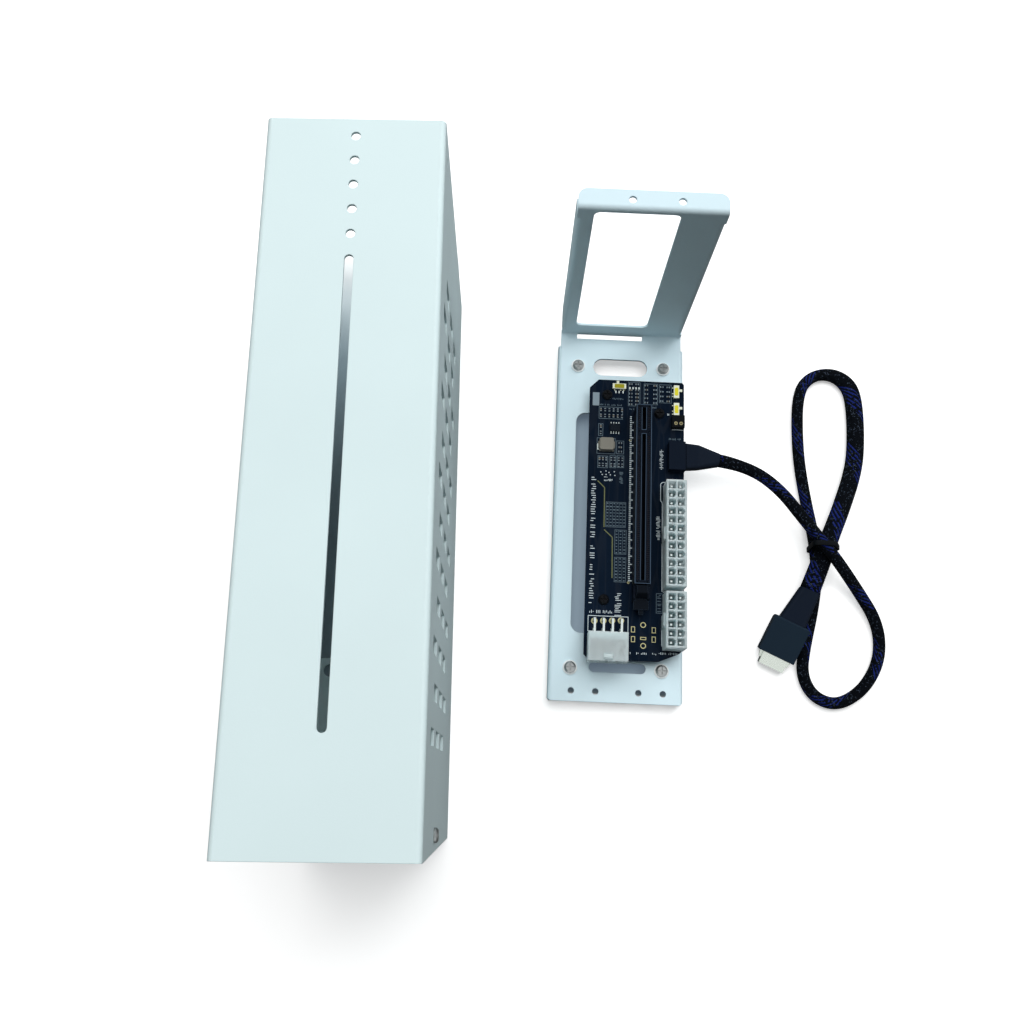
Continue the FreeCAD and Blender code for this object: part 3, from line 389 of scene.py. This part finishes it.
finish_of = {
    "cover_shell": white_cover, "cover_front_panel": white_cover, "cover_front_screws": screw_steel,
    "tray": white_tray, "tray_washers": white_nylon, "tray_screws": screw_steel, "rubber_feet": rubber,
    "foot_nuts": screw_steel, "board_standoffs": post_metal, "board_screws": dark_steel,
    "circuit_board": board_black, "card_slot_housing": slot_black, "card_slot_contacts": contact_bronze,
    "slot_latch": latch_black, "power_header_24": nylon, "power_header_24_pins": tin,
    "power_header_12": nylon, "power_header_12_pins": tin, "card_power_header": nylon,
    "card_power_pins": tin, "data_socket": socket_black, "data_plug": socket_black,
    "data_plug_boot": boot_black, "cable_tie": strap_black, "far_plug_boot": boot_black,
    "far_plug_body": plug_slate, "far_plug_nose": bright_nickel, "power_coil": coil_grey,
    "regulator_chip": chip_black, "regulator_leads": tin, "fan_socket": small_socket,
    "fan_socket_contacts": gold, "small_parts": ceramic, "small_part_ends": solder,
}
for number in (1, 2, 3):
    finish_of["switch_%d_body" % number] = lever_white
    finish_of["switch_%d_lever" % number] = lever_white

for name, material in finish_of.items():
    for slot in nodes[name].material_slots:
        slot.material = material


# Data cable: the given points of its middle line, in the tray's own millimetres

route = [
    (47.6, 118.4, 18.5), (61.1, 116.7, 17.4), (77.2, 107.1, 16.2), (91.0, 89.1, 16.2),
    (103.6, 73.5, 16.2), (117.0, 60.1, 6.0), (127.6, 44.5, 2.75), (128.2, 28.1, 2.75),
    (121.3, 14.1, 2.75), (111.2, 5.9, 2.75), (102.5, 4.2, 2.75), (94.0, 8.6, 2.75),
    (89.8, 18.2, 2.75), (91.6, 30.4, 2.75), (96.6, 51.1, 2.75), (98.6, 69.1, 3.8),
    (97.6, 85.1, 3.8), (94.2, 105.1, 2.75), (91.4, 126.1, 2.75), (91.2, 146.6, 2.75),
    (92.2, 158.7, 2.75), (95.0, 167.3, 2.75), (102.3, 172.7, 2.75), (111.3, 172.7, 2.75),
    (118.5, 167.3, 2.75), (120.9, 158.2, 2.75), (121.1, 140.0, 2.75), (119.3, 122.3, 3.2),
    (110.7, 100.3, 7.6), (103.0, 82.8, 10.0), (97.8, 69.1, 10.0), (93.0, 57.3, 9.4)]

ROUTE_STEPS = 12             # points of the smooth line to each one of the route
SLEEVE_ROUND = 32            # points round the sleeve
SQUARENESS = 0.88            # 1 gives the sleeve an oval section, less a fuller one


def smooth_line(points):
    """The points of a smooth line through the cable's listed route."""
    curve = bpy.data.curves.new("route", "CURVE")
    curve.dimensions = "3D"
    curve.resolution_u = ROUTE_STEPS
    spline = curve.splines.new("NURBS")
    spline.points.add(len(points) - 1)
    for target, point in zip(spline.points, points):
        target.co = (*((TRAY + Vector(point)) * MM), 1.0)
    spline.order_u = 3
    spline.use_endpoint_u = True
    carrier = bpy.data.objects.new("route", curve)
    bpy.context.collection.objects.link(carrier)
    bpy.context.view_layer.update()
    mesh = bpy.data.meshes.new_from_object(carrier)
    line = [v.co.copy() for v in mesh.vertices]
    bpy.data.objects.remove(carrier)
    return line


def mesh_object(name, verts, faces, material, smooth=True):
    mesh = bpy.data.meshes.new(name)
    mesh.from_pydata([tuple(v) for v in verts], [], faces)
    mesh.materials.append(material)
    if smooth:
        mesh.polygons.foreach_set("use_smooth", [True] * len(mesh.polygons))
    mesh.update()
    piece = bpy.data.objects.new(name, mesh)
    bpy.context.collection.objects.link(piece)
    return piece


def eased(value, start, end):
    """0 before start, 1 after end, and smooth between them."""
    t = min(1.0, max(0.0, (value - start) / (end - start)))
    return t * t * (3 - 2 * t)


def sleeve_size(at):
    """Width and thickness of the sleeve, in metres: nearly round, then spread flat to the far plug."""
    wide, spread, wider_at_plug, wider_at_start = 0.0057, 0.0031, 0.0010, 0.0008
    thick, flattened = 0.0051, 0.0002
    flat, plug = eased(at, 0.344, 0.366), eased(at, 0.440, 0.478)
    start = 1 - eased(at, 0.0, 0.014)
    return wide + spread * flat + wider_at_plug * plug + wider_at_start * start, thick - flattened * flat


def woven_cable(line, around):
    """Sleeve along the line, unwrapped so that the weave runs round and along it."""
    verts, faces = [], []
    up = Vector((0, 0, 1))
    along = [0.0]
    for a, b in zip(line, line[1:]):
        along.append(along[-1] + (b - a).length)
    for i, point in enumerate(line):
        ahead = (line[min(i + 1, len(line) - 1)] - line[max(i - 1, 0)]).normalized()
        side = up.cross(ahead).normalized()
        over = ahead.cross(side).normalized()
        width, thick = sleeve_size(along[i])
        for j in range(around):
            angle = 2 * math.pi * j / around
            c, s = math.cos(angle), math.sin(angle)
            x = math.copysign(abs(c) ** SQUARENESS, c) * width / 2
            y = math.copysign(abs(s) ** SQUARENESS, s) * thick / 2
            verts.append(point + side * x + over * y)
    for i in range(len(line) - 1):
        for j in range(around):
            k = (j + 1) % around
            faces.append((i * around + j, i * around + k, (i + 1) * around + k, (i + 1) * around + j))
    faces.append(tuple(range(around - 1, -1, -1)))
    faces.append(tuple((len(line) - 1) * around + j for j in range(around)))
    piece = mesh_object("data_cable_sleeve", verts, faces, braid)
    layer = piece.data.uv_layers.new(name="weave")
    for polygon in piece.data.polygons:
        if polygon.loop_total != 4:
            continue
        i, j = divmod(polygon.index, around)
        corners = ((i, j), (i, j + 1), (i + 1, j + 1), (i + 1, j))
        for loop, (row, column) in zip(polygon.loop_indices, corners):
            layer.data[loop].uv = (column / around * STRANDS_ROUND, along[row] / STRAND_LONG)
    return piece


def outline_round(points):
    """Convex outline of flat points, counter-clockwise."""
    points = sorted(set(points))
    sides = []
    for run in (points, points[::-1]):
        side = []
        for p in run:
            while len(side) > 1 and ((side[-1][0] - side[-2][0]) * (p[1] - side[-2][1])
                                     - (side[-1][1] - side[-2][1]) * (p[0] - side[-2][0])) <= 0:
                side.pop()
            side.append(p)
        sides += side[:-1]
    return sides


def evenly_round(ring, steps):
    """Points at equal steps along a closed outline that stands upright across y."""
    lengths = [math.dist(a, b) for a, b in zip(ring, ring[1:] + ring[:1])]
    total, side, gone, even = sum(lengths), 0, 0.0, []
    for step in range(steps):
        target = total * step / steps
        while gone + lengths[side] < target:
            gone += lengths[side]
            side += 1
        a, b = ring[side], ring[(side + 1) % len(ring)]
        t = (target - gone) / lengths[side]
        even.append(Vector((a[0] + t * (b[0] - a[0]), 0, a[1] + t * (b[1] - a[1]))))
    return even


def tight_strap(cable):
    """Band drawn tight round the cable's three runs, with rolled edges, where the solid tie stands."""
    thick, clear, margin, steps = 0.0008, 0.0001, 0.0012, 96
    low, high = (corner.y * MM for corner in piece_box("cable_tie"))
    near = [v.co for v in cable.data.vertices if low - margin < v.co.y < high + margin]
    ring = outline_round([(round(c.x, 5), round(c.z, 5)) for c in near])
    middle = Vector((sum(p[0] for p in ring) / len(ring), 0, sum(p[1] for p in ring) / len(ring)))
    even = evenly_round(ring, steps)
    roll = 0.22 * thick
    profile = [(low + roll, 0.0), (low, roll), (low, thick - roll), (low + roll, thick),
               (high - roll, thick), (high, thick - roll), (high, roll), (high - roll, 0.0)]
    verts, faces, count = [], [], len(profile)
    for i, point in enumerate(even):
        along = (even[(i + 1) % steps] - even[i - 1]).normalized()
        out = Vector((along.z, 0, -along.x))
        if out.dot(point - middle) < 0:
            out = -out
        for y, rise in profile:
            place = point + out * (rise + clear)
            verts.append((place.x, y, max(place.z, clear)))
    for i in range(steps):
        for j in range(count):
            k, m = (j + 1) % count, (i + 1) % steps
            faces.append((i * count + j, i * count + k, m * count + k, m * count + j))
    return mesh_object("cable_strap", verts, faces, strap_black)


line = smooth_line(route)
cable = woven_cable(line, SLEEVE_ROUND)
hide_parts("data_cable")
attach(cable, ROOT)
strap = tight_strap(cable)
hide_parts("cable_tie")
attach(strap, ROOT)


# Print and bare metal on the board, in the board's own millimetres

dice = random.Random(7)


class Print:
    """Flat marks a fraction of a millimetre high, gathered in one mesh for each finish."""

    low, high = 0.002, 0.025            # of a mark above the surface

    def __init__(self, name, material, surface=BOARD_TOP):
        self.name, self.material, self.surface = name, material, surface
        self.verts, self.faces = [], []

    def patch(self, corners):
        """One flat polygon with its low sides."""
        first, count = len(self.verts), len(corners)
        for rise in (self.low, self.high):
            for x, y in corners:
                place = BOARD + Vector((x, y, self.surface + rise))
                self.verts.append(tuple(c * MM for c in place))
        self.faces.append(tuple(range(first + count, first + 2 * count)))
        for i in range(count):
            j = (i + 1) % count
            self.faces.append((first + i, first + j, first + count + j, first + count + i))

    def bar(self, x0, y0, x1, y1):
        self.patch([(x0, y0), (x1, y0), (x1, y1), (x0, y1)])

    def outline(self, x0, y0, x1, y1, wide=0.25):
        self.bar(x0, y0, x1, y0 + wide)
        self.bar(x0, y1 - wide, x1, y1)
        self.bar(x0, y0 + wide, x0 + wide, y1 - wide)
        self.bar(x1 - wide, y0 + wide, x1, y1 - wide)

    def stroke(self, points, wide):
        """Line of straight runs from point to point."""
        for (ax, ay), (bx, by) in zip(points, points[1:]):
            run = math.hypot(bx - ax, by - ay)
            ox, oy = -(by - ay) / run * wide / 2, (bx - ax) / run * wide / 2
            self.patch([(ax - ox, ay - oy), (bx - ox, by - oy), (bx + ox, by + oy), (ax + ox, ay + oy)])

    def ring(self, x, y, outer, inner, steps=24):
        turns = [2 * math.pi * i / steps for i in range(steps + 1)]
        for a, b in zip(turns, turns[1:]):
            self.patch([(x + inner * math.cos(a), y + inner * math.sin(a)),
                        (x + outer * math.cos(a), y + outer * math.sin(a)),
                        (x + outer * math.cos(b), y + outer * math.sin(b)),
                        (x + inner * math.cos(b), y + inner * math.sin(b))])

    def dashes(self, x0, y0, x1, y1, along, step, wide=0.3):
        """Row of plain short strokes that fills a strip, some left out; they stand for nothing."""
        at, end = (x0, x1) if along == "x" else (y0, y1)
        start, stop = (y0, y1) if along == "x" else (x0, x1)
        while at + wide <= end:
            if dice.random() > 0.16:
                a = start + (stop - start) * dice.choice((0.0, 0.0, 0.35, 0.1))
                b = stop - (stop - start) * dice.choice((0.0, 0.0, 0.4, 0.15))
                if along == "x":
                    self.bar(at, a, at + wide, b)
                else:
                    self.bar(a, at, b, at + wide)
            at += step

    def piece(self):
        made = mesh_object(self.name, self.verts, self.faces, self.material, False)
        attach(made, ROOT)


white = Print("board_print_white", print_white)
dim = Print("board_print_grey", print_dim)
trace = Print("board_bare_trace", olive_trace)
rings = Print("board_gold_rings", gold_ring)
pads = Print("board_tinned_pads", tin)
label = Print("board_blank_label", label_grey)


def print_far_end():
    """Blank label, the far pads, and the boxes round the small parts."""
    label.bar(1.5, 126.2, 4.8, 133.1)
    for x in (13.0, 14.6, 16.6):
        pads.bar(x - 0.3, 133.2, x + 0.3, 134.5)
    for x in (20.0, 21.6, 23.1, 24.6):
        pads.bar(x - 0.4, 135.65, x + 0.4, 136.75)
    for box in ((19.2, 126.6, 25.2, 139.4), (27.0, 127.7, 34.0, 138.9), (34.7, 128.9, 40.9, 138.8),
                (4.7, 119.3, 16.6, 125.7), (4.6, 93.7, 9.7, 100.0), (10.5, 93.9, 13.7, 100.3),
                (14.1, 94.1, 17.6, 100.4), (13.7, 101.2, 17.5, 108.1), (4.6, 110.3, 7.0, 116.8),
                (4.0, 101.0, 13.2, 109.3)):
        dim.outline(*box)
    for strip in ((5.2, 126.4, 16.8, 127.2), (9.6, 129.6, 17.2, 130.6), (19.4, 124.6, 25.0, 125.5),
                  (27.4, 125.8, 33.6, 126.8)):
        dim.dashes(*strip, "x", 0.62)
    white.bar(41.2, 114.9, 46.8, 115.25)
    white.dashes(38.2, 122.4, 40.6, 123.4, "x", 0.6)
    dim.dashes(38.4, 109.6, 46.0, 110.6, "x", 0.62)
    pads.bar(4.1, 103.0, 5.1, 106.3)


def print_grid(left, low, right, high, columns, rows):
    """Box with thin lines between its columns and a small mark in each place."""
    dim.outline(left, low, right, high, 0.22)
    for column in range(columns):
        x = left + (column + 0.5) * (right - left) / columns
        if column:
            edge = left + column * (right - left) / columns
            dim.bar(edge - 0.08, low, edge + 0.08, high)
        for row in range(rows):
            y = low + (row + 0.5) * (high - low) / rows
            wide, tall = dice.choice((0.35, 0.5)), dice.choice((0.2, 0.3))
            dim.bar(x - wide, y - tall, x + wide, y + tall)


def print_left_side():
    """Dots, long rows of strokes, the bare traces and the grids on the left of the slot."""
    for x, y in ((6.3, 91.6), (7.0, 90.3), (8.8, 92.2), (8.9, 90.4), (10.3, 91.5), (11.0, 90.3),
                 (12.9, 92.0), (13.2, 90.1)):
        white.bar(x - 0.25, y - 0.25, x + 0.25, y + 0.25)
    white.dashes(8.0, 87.1, 12.3, 88.1, "x", 0.62)
    white.dashes(8.0, 88.6, 11.3, 89.5, "x", 0.62)
    dim.dashes(15.4, 86.1, 17.3, 92.9, "y", 0.62)
    white.dashes(1.8, 58.6, 4.1, 89.4, "y", 1.15, 0.36)
    white.dashes(1.8, 26.4, 4.1, 55.2, "y", 1.15, 0.36)
    trace.stroke([(4.8, 87.1), (8.3, 83.7), (8.4, 63.8)], 0.5)
    trace.stroke([(8.45, 62.6), (12.5, 58.9), (12.7, 38.9)], 0.5)
    print_grid(9.1, 63.9, 18.9, 76.6, 6, 8)
    print_grid(13.6, 50.6, 19.3, 62.8, 3, 8)
    print_grid(13.6, 37.0, 19.3, 49.2, 3, 8)


def print_ruler(left, near, count):
    """Plain ticks 1 mm apart beside the slot, every fourth one longer."""
    for i in range(count):
        long = 1.9 if i % 4 == 0 else 0.9
        white.bar(left, near + i, left + long, near + 0.5 + i)


def print_right_side():
    """Ruler beside the slot, and the marks between the slot and the headers."""
    print_ruler(20.3, 37.7, 84)
    for y in (108.6, 37.0):
        rings.ring(20.5, y, 0.6, 0.3)
    white.dashes(35.1, 93.5, 37.0, 104.8, "y", 0.7)
    white.dashes(33.6, 58.6, 35.6, 70.5, "y", 0.7)
    white.stroke([(38.3, 87.6), (36.6, 87.6), (35.7, 86.7), (35.7, 78.2), (36.6, 77.2)], 0.3)
    white.stroke([(36.55, 77.2), (36.55, 33.4)], 0.3)
    white.stroke([(36.6, 19.8), (36.6, 7.4), (37.8, 6.4)], 0.3)
    white.stroke([(36.9, 34.1), (37.9, 33.3), (38.9, 34.1)], 0.25)
    white.stroke([(36.9, 33.4), (37.9, 32.6), (38.9, 33.4)], 0.25)
    dim.outline(33.8, 22.8, 37.0, 32.4)
    dim.dashes(34.4, 23.6, 36.4, 31.6, "y", 0.7)


def print_near_end():
    """Strokes, the four rings behind the card's power header, and the rings and boxes of the near end."""
    white.dashes(14.2, 20.9, 17.3, 31.7, "y", 0.8)
    white.dashes(2.3, 21.7, 13.8, 23.2, "x", 0.8)
    white.outline(1.6, 13.0, 20.8, 20.6, 0.3)
    for x, y in ((4.7, 18.0), (8.95, 18.2), (13.1, 18.4), (17.3, 18.6)):
        rings.ring(x, y, 1.5, 0.85)
    for x, y in ((23.05, 14.7), (23.1, 10.1), (32.85, 14.7), (32.85, 10.3)):
        rings.outline(x - 0.95, y - 1.4, x + 0.95, y + 1.4, 0.3)
    for x, y in ((27.8, 17.0), (27.9, 7.15)):
        rings.ring(x, y, 1.35, 0.95)
    rings.outline(26.5, 9.9, 29.3, 11.3, 0.3)
    white.dashes(21.7, 3.0, 34.0, 4.0, "x", 0.75)
    white.dashes(35.3, 3.4, 44.0, 4.5, "x", 0.75)


def make_board_print():
    print_far_end()
    print_left_side()
    print_right_side()
    print_near_end()
    for made in (white, dim, trace, rings, pads, label):
        made.piece()


def make_slot_highlights():
    """Pale lines painted as highlights where the card slot's long edges and the rims of its mouth would
    catch the light.
    """
    slot_length, key_from_near, half_key, wall = 89.0, 74.9, 0.9, 1.6
    inset, line_wide = 0.1, 0.25
    low, high = (corner - BOARD for corner in piece_box("card_slot_housing"))
    middle, half, far = (low.x + high.x) / 2, (high.x - low.x) / 2, high.y
    near = far - slot_length
    key = near + key_from_near
    body_edge, mouth_edge = (half - 0.35, half - 0.03), (0.97, 1.2)
    edges = Print("slot_painted_highlight_lines", painted_highlight_blue, high.z)
    for side in (-1, 1):
        for (inner, outer), start, end in ((body_edge, near + inset, far - inset),
                                           (mouth_edge, near + wall, key - half_key),
                                           (mouth_edge, key + half_key, far - wall)):
            left, right = sorted((middle + side * inner, middle + side * outer))
            edges.bar(left, start, right, end)
    for reach, ends in ((body_edge[0], (near + inset, far - inset - line_wide)),
                        (mouth_edge[0], (key - half_key - line_wide, key + half_key))):
        for y in ends:
            edges.bar(middle - reach, y, middle + reach, y + line_wide)
    edges.piece()


make_board_print()
make_slot_highlights()


def make_switch_window(number, x, y, wide, deep, material):
    """Coloured window let into the top of a slide switch, with rounded corners and a rolled rim.

    Its middle is in the board's own millimetres.
    """
    corner, turns, verts = 0.45, 5, []
    sunk, proud, roll, shrink = 0.1, 0.08, 0.04, 0.94
    for centre_x, centre_y, start in ((1, 1, 0), (-1, 1, 90), (-1, -1, 180), (1, -1, 270)):
        for i in range(turns):
            angle = math.radians(start + 90 * i / (turns - 1))
            verts.append((centre_x * (wide / 2 - corner) + corner * math.cos(angle),
                          centre_y * (deep / 2 - corner) + corner * math.sin(angle)))
    count = len(verts)
    top = piece_box("switch_%d_body" % number)[1].z
    levels = ((1.0, top - sunk), (1.0, top + proud - roll), (shrink, top + proud))
    points = [tuple(c * MM for c in BOARD + Vector((x + a * scale, y + b * scale, level)))
              for scale, level in levels for a, b in verts]
    faces = [(r * count + i, r * count + (i + 1) % count, (r + 1) * count + (i + 1) % count,
              (r + 1) * count + i) for r in range(2) for i in range(count)]
    faces += [tuple(range(2 * count, 3 * count)), tuple(range(count - 1, -1, -1))]
    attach(mesh_object("switch_%d_window" % number, points, faces, material, False), ROOT)


make_switch_window(1, 14.6, 136.5, 4.9, 2.1, switch_olive)
make_switch_window(2, 43.2, 134.8, 1.8, 4.2, switch_yellow)
make_switch_window(3, 43.2, 125.45, 1.8, 4.2, switch_yellow)


# Floor and light

FLOOR_HALF = 6.0             # metres from the middle of the floor to its sides
FLOOR_LEVEL = -0.00002       # metres, just under what stands on it

# The painted floor shadow seen through a piece's openings, in metres: how far it reaches past the piece's
# left, right, near and far sides (less than 0 stops short of them), and the width over which it sets in
# there
SHADED = {
    "cover_shell": ((0.030, -0.010, -0.004, 0.035), (0.030, 0.012, 0.02, 0.15)),
    "tray": ((-0.001, -0.003, -0.004, -0.041), (0.004, 0.006, 0.006, 0.014)),
}


def shaded_ground(n):
    """How far inside the painted floor shadow a place lies, 0 at its rim and 1 past the width where it
    sets in:
    for the cover and the tray together, and for the tray alone."""
    parts = n.add("ShaderNodeSeparateXYZ")
    n.link(n.place().outputs["Object"], parts.inputs["Vector"])
    inside = {}
    for name, (reach, soft) in SHADED.items():
        low, high = (corner * MM for corner in piece_box(name))
        depth = None
        for side, edge in enumerate((low.x, -high.x, low.y, -high.y)):
            sign = 1.0 if side % 2 == 0 else -1.0
            place = n.maths("MULTIPLY", parts.outputs[side // 2], sign)
            past = n.maths("DIVIDE", n.maths("SUBTRACT", place, edge - reach[side]), soft[side])
            depth = past if depth is None else n.maths("MINIMUM", depth, past)
        inside[name] = depth
    return n.maths("MAXIMUM", inside["cover_shell"], inside["tray"]), inside["tray"]


def seen_straight(n):
    """1 for what the camera sees, also through clear pieces, and 0 for light that goes elsewhere."""
    path = n.add("ShaderNodeLightPath")
    return n.maths("MAXIMUM", path.outputs["Is Camera Ray"], path.outputs["Is Transmission Ray"])


def finish_with(n, factor, first, second, output):
    """Lead a mix of two shaders to the tree's output."""
    mix = n.add("ShaderNodeMixShader")
    n.link(factor, mix.inputs["Fac"])
    n.link(first.outputs[0], mix.inputs[1])
    n.link(second.outputs[0], mix.inputs[2])
    n.link(mix.outputs[0], n.add(output).inputs["Surface"])


def floor_material():
    """White paper to the camera, with painted shadow under the cover and the tray and a faint painted
    light under the tray, and dull to all other light.
    """
    material = new_material("floor_paper")
    n = Nodes(material)
    dull = n.add("ShaderNodeBsdfDiffuse")
    n.put(grey(0.15), dull.inputs["Color"])
    painted_shadow_depth, tray_painted_shadow_depth = shaded_ground(n)
    # Painted shadow: the paper is darker and bluer under the cover and the tray, and the glow that whitens
    # the open paper fades out there
    seen = n.add("ShaderNodeBsdfDiffuse")
    n.link(n.ramp(painted_shadow_depth, [(0.0, grey(1.0)), (0.2, (0.62, 0.70, 0.73)), (0.45, (0.34, 0.43, 0.48)),
                            (1.0, (0.31, 0.39, 0.44))]), seen.inputs["Color"])
    glow = n.add("ShaderNodeEmission")
    n.link(n.ramp(painted_shadow_depth, [(0.0, grey(0.42)), (0.15, grey(0.0))]), glow.inputs["Color"])
    # Painted light: a faint cool glow added to the floor under the tray
    painted_fill_light = n.add("ShaderNodeEmission")
    n.link(n.ramp(tray_painted_shadow_depth, [(0.0, grey(0.0)), (1.0, (0.09, 0.12, 0.155))]), painted_fill_light.inputs["Color"])
    glows, both = n.add("ShaderNodeAddShader"), n.add("ShaderNodeAddShader")
    n.link(glow.outputs[0], glows.inputs[0])
    n.link(painted_fill_light.outputs[0], glows.inputs[1])
    n.link(seen.outputs[0], both.inputs[0])
    n.link(glows.outputs[0], both.inputs[1])
    finish_with(n, seen_straight(n), dull, both, "ShaderNodeOutputMaterial")
    return material


def make_floor():
    corners = [(x * FLOOR_HALF, y * FLOOR_HALF, FLOOR_LEVEL)
               for x, y in ((-1, -1), (1, -1), (1, 1), (-1, 1))]
    floor = mesh_object("floor", corners, [(0, 1, 2, 3)], floor_material(), False)


def make_world():
    """White to the camera and in reflections, and a faint cool light from all round."""
    world = bpy.data.worlds.new("studio")
    world.use_nodes = True
    scene.world = world
    world.node_tree.nodes.clear()
    n = Nodes(world)
    ambient, backdrop = n.add("ShaderNodeBackground"), n.add("ShaderNodeBackground")
    for background, colour, strength in ((ambient, (0.85, 0.95, 1.0), 0.08), (backdrop, grey(1.0), 1.0)):
        n.put(colour, background.inputs["Color"])
        n.put(strength, background.inputs["Strength"])
    mirrored = n.add("ShaderNodeLightPath").outputs["Is Glossy Ray"]
    finish_with(n, n.maths("MAXIMUM", seen_straight(n), mirrored), ambient, backdrop,
                "ShaderNodeOutputWorld")


def area_light(name, place, target, size, power, colour):
    """Soft lamp turned to its target: metres and watts."""
    data = bpy.data.lights.new(name, "AREA")
    data.shape = "RECTANGLE"
    data.size, data.size_y = size
    data.energy = power
    data.color = colour
    lamp = bpy.data.objects.new(name, data)
    lamp.location = place
    lamp.visible_glossy = False
    lamp.rotation_euler = (Vector(target) - Vector(place)).to_track_quat("-Z", "Y").to_euler()
    bpy.context.collection.objects.link(lamp)


make_floor()
make_world()
area_light("top_soft", place=(0.092, 0.812, 2.43), target=(0.02, 0.02, 0.0), size=(2.9, 2.0), power=67.0,
           colour=(1.0, 0.998, 0.99))
area_light("far_right_soft", place=(0.60, 0.70, 0.45), target=(0.0, 0.1, 0.06), size=(0.5, 0.4), power=2.7,
           colour=(0.92, 0.97, 1.0))
